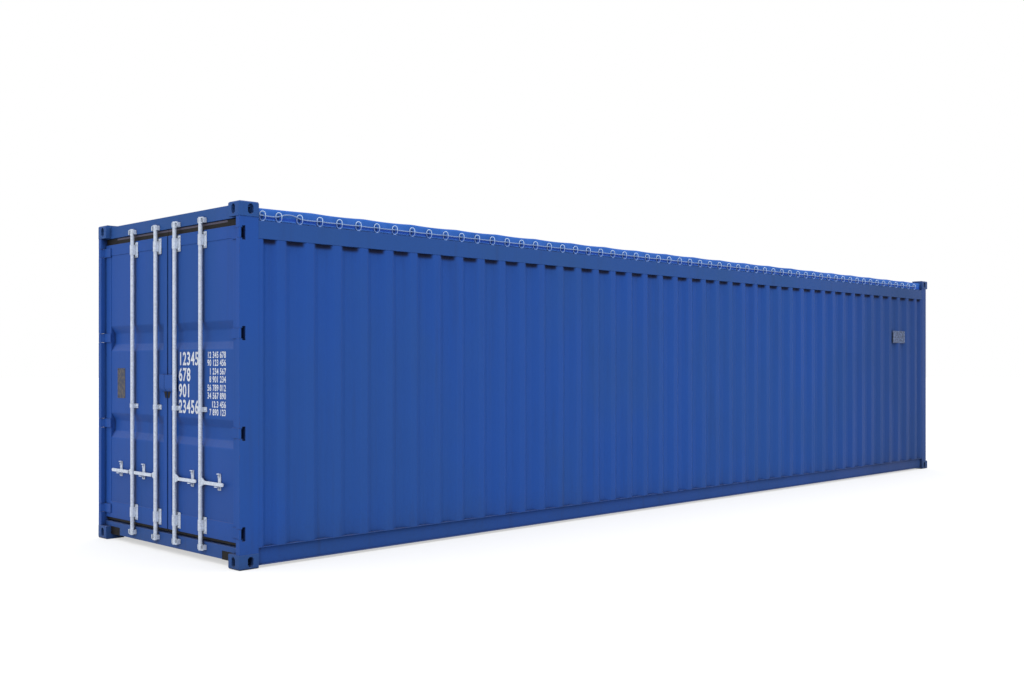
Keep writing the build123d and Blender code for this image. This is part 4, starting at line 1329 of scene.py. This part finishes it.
def seen_white(tree):
    """1 for rays from the camera and for reflected and refracted ones"""
    rays = node(tree, "LightPath").outputs
    direct = calc(tree, "MAXIMUM", rays["Is Camera Ray"], rays["Is Glossy Ray"])
    return calc(tree, "MAXIMUM", direct, rays["Is Transmission Ray"])


class CONTAINER_OT_stage(bpy.types.Operator):
    """White floor, soft light and the camera"""

    bl_idname = "container.stage"
    bl_label = "Stage"

    def execute(self, context):
        stage = context.scene.container_stage
        context.scene.view_settings.view_transform = "Standard"
        self.add_floor(context, stage)
        self.add_sky(context, stage)
        key = self.add_lamp(context, "Soft key", stage.key, stage.key_spread)
        key.rotation_euler = Vector(KEY_FROM).to_track_quat("Z", "Y").to_euler()
        self.add_lamp(context, "Soft top", stage.top, stage.top_spread)
        self.aim(context, stage)
        return {"FINISHED"}

    def add_floor(self, context, stage):
        """A matt floor that looks white to the camera and keeps the container's shadow"""
        bm = bmesh.new()
        bmesh.ops.create_grid(bm, x_segments=8, y_segments=8, size=stage.floor_size / 2)
        bmesh.ops.translate(bm, verts=bm.verts, vec=(0, 0, -FLOOR_DROP))
        mesh = bpy.data.meshes.new("studio_floor")
        bm.to_mesh(mesh)
        bm.free()
        ground = bpy.data.objects.new("studio_floor", mesh)
        context.scene.collection.objects.link(ground)
        surface = bpy.data.materials.new("Studio floor")
        surface.use_nodes = True
        tree = surface.node_tree
        tree.nodes.clear()
        matt = node(tree, "BsdfDiffuse", None, {"Color": rgb([stage.floor_colour] * 3)})
        glow = node(tree, "Emission", None, {"Strength": times(tree, seen_white(tree), stage.floor_fill)})
        summed = node(tree, "AddShader", None, {0: matt.outputs[0], 1: glow.outputs[0]})
        tree.nodes.active = node(tree, "OutputMaterial", None, {"Surface": summed.outputs[0]})
        mesh.materials.append(surface)

    def add_sky(self, context, stage):
        """Light from all round, plain white to the camera"""
        world = bpy.data.worlds.new("Studio")
        context.scene.world = world
        world.use_nodes = True
        tree = world.node_tree
        tree.nodes.clear()
        around = node(tree, "Background", None, {"Color": rgb(SKY_COLOUR), "Strength": stage.sky})
        white = node(tree, "Background", None, {"Color": rgb(WHITE), "Strength": 1.0})
        mix = node(tree, "MixShader", None, {0: seen_white(tree), 1: around.outputs[0], 2: white.outputs[0]})
        node(tree, "OutputWorld", None, {"Surface": mix.outputs[0]})

    def add_lamp(self, context, name, strength, spread):
        """A wide soft lamp, far away and straight above until it is turned"""
        lamp = bpy.data.lights.new(name, "SUN")
        lamp.energy = strength
        lamp.angle = spread
        carrier = bpy.data.objects.new(name, lamp)
        context.scene.collection.objects.link(carrier)
        return carrier

    def aim(self, context, stage):
        """The camera, level and at the photograph's angle"""
        lens = bpy.data.cameras.new("Camera")
        lens.sensor_width = SENSOR_WIDTH
        lens.lens = stage.lens
        lens.shift_y = stage.shift_up
        lens.clip_end = FAR_LIMIT
        camera = bpy.data.objects.new("Camera", lens)
        context.scene.collection.objects.link(camera)
        camera.location = stage.eye
        camera.rotation_euler = (pi / 2, 0.0, stage.heading - pi / 2)
        context.scene.camera = camera


SETTINGS = {
    "container_steel": SteelSettings,
    "container_cloth": ClothSettings,
    "container_markings": MarkingSettings,
    "container_stage": StageSettings,
}
OPERATORS = (
    CONTAINER_OT_frame, CONTAINER_OT_sheets, CONTAINER_OT_castings, CONTAINER_OT_door_gear,
    CONTAINER_OT_fittings, CONTAINER_OT_plates, CONTAINER_OT_seals, CONTAINER_OT_underside,
    CONTAINER_OT_tarpaulin, CONTAINER_OT_rings, CONTAINER_OT_ropes, CONTAINER_OT_markings,
    CONTAINER_OT_stage,
)
STEPS = [operator.bl_idname.split(".")[1] for operator in OPERATORS]


class CONTAINER_PT_steps(bpy.types.Panel):
    """The container's pieces and settings"""

    bl_idname = "CONTAINER_PT_steps"
    bl_label = "Open top container"
    bl_space_type = "VIEW_3D"
    bl_region_type = "UI"
    bl_category = "Container"

    def draw(self, context):
        for step in STEPS:
            self.layout.operator(f"container.{step}")
        for settings in SETTINGS:
            group = getattr(context.scene, settings)
            for name in group.bl_rna.properties.keys():
                if name not in ("name", "rna_type"):
                    self.layout.prop(group, name)


CLASSES = (*SETTINGS.values(), *OPERATORS, CONTAINER_PT_steps)


def register():
    for item in CLASSES:
        bpy.utils.register_class(item)
    for name, group in SETTINGS.items():
        setattr(bpy.types.Scene, name, PointerProperty(type=group))


def unregister():
    for name in SETTINGS:
        delattr(bpy.types.Scene, name)
    for item in reversed(CLASSES):
        bpy.utils.unregister_class(item)


def main():
    """Make every piece in order"""
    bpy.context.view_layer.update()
    register()
    for step in STEPS:
        getattr(bpy.ops.container, step)()


if __name__ == "__main__":
    main()
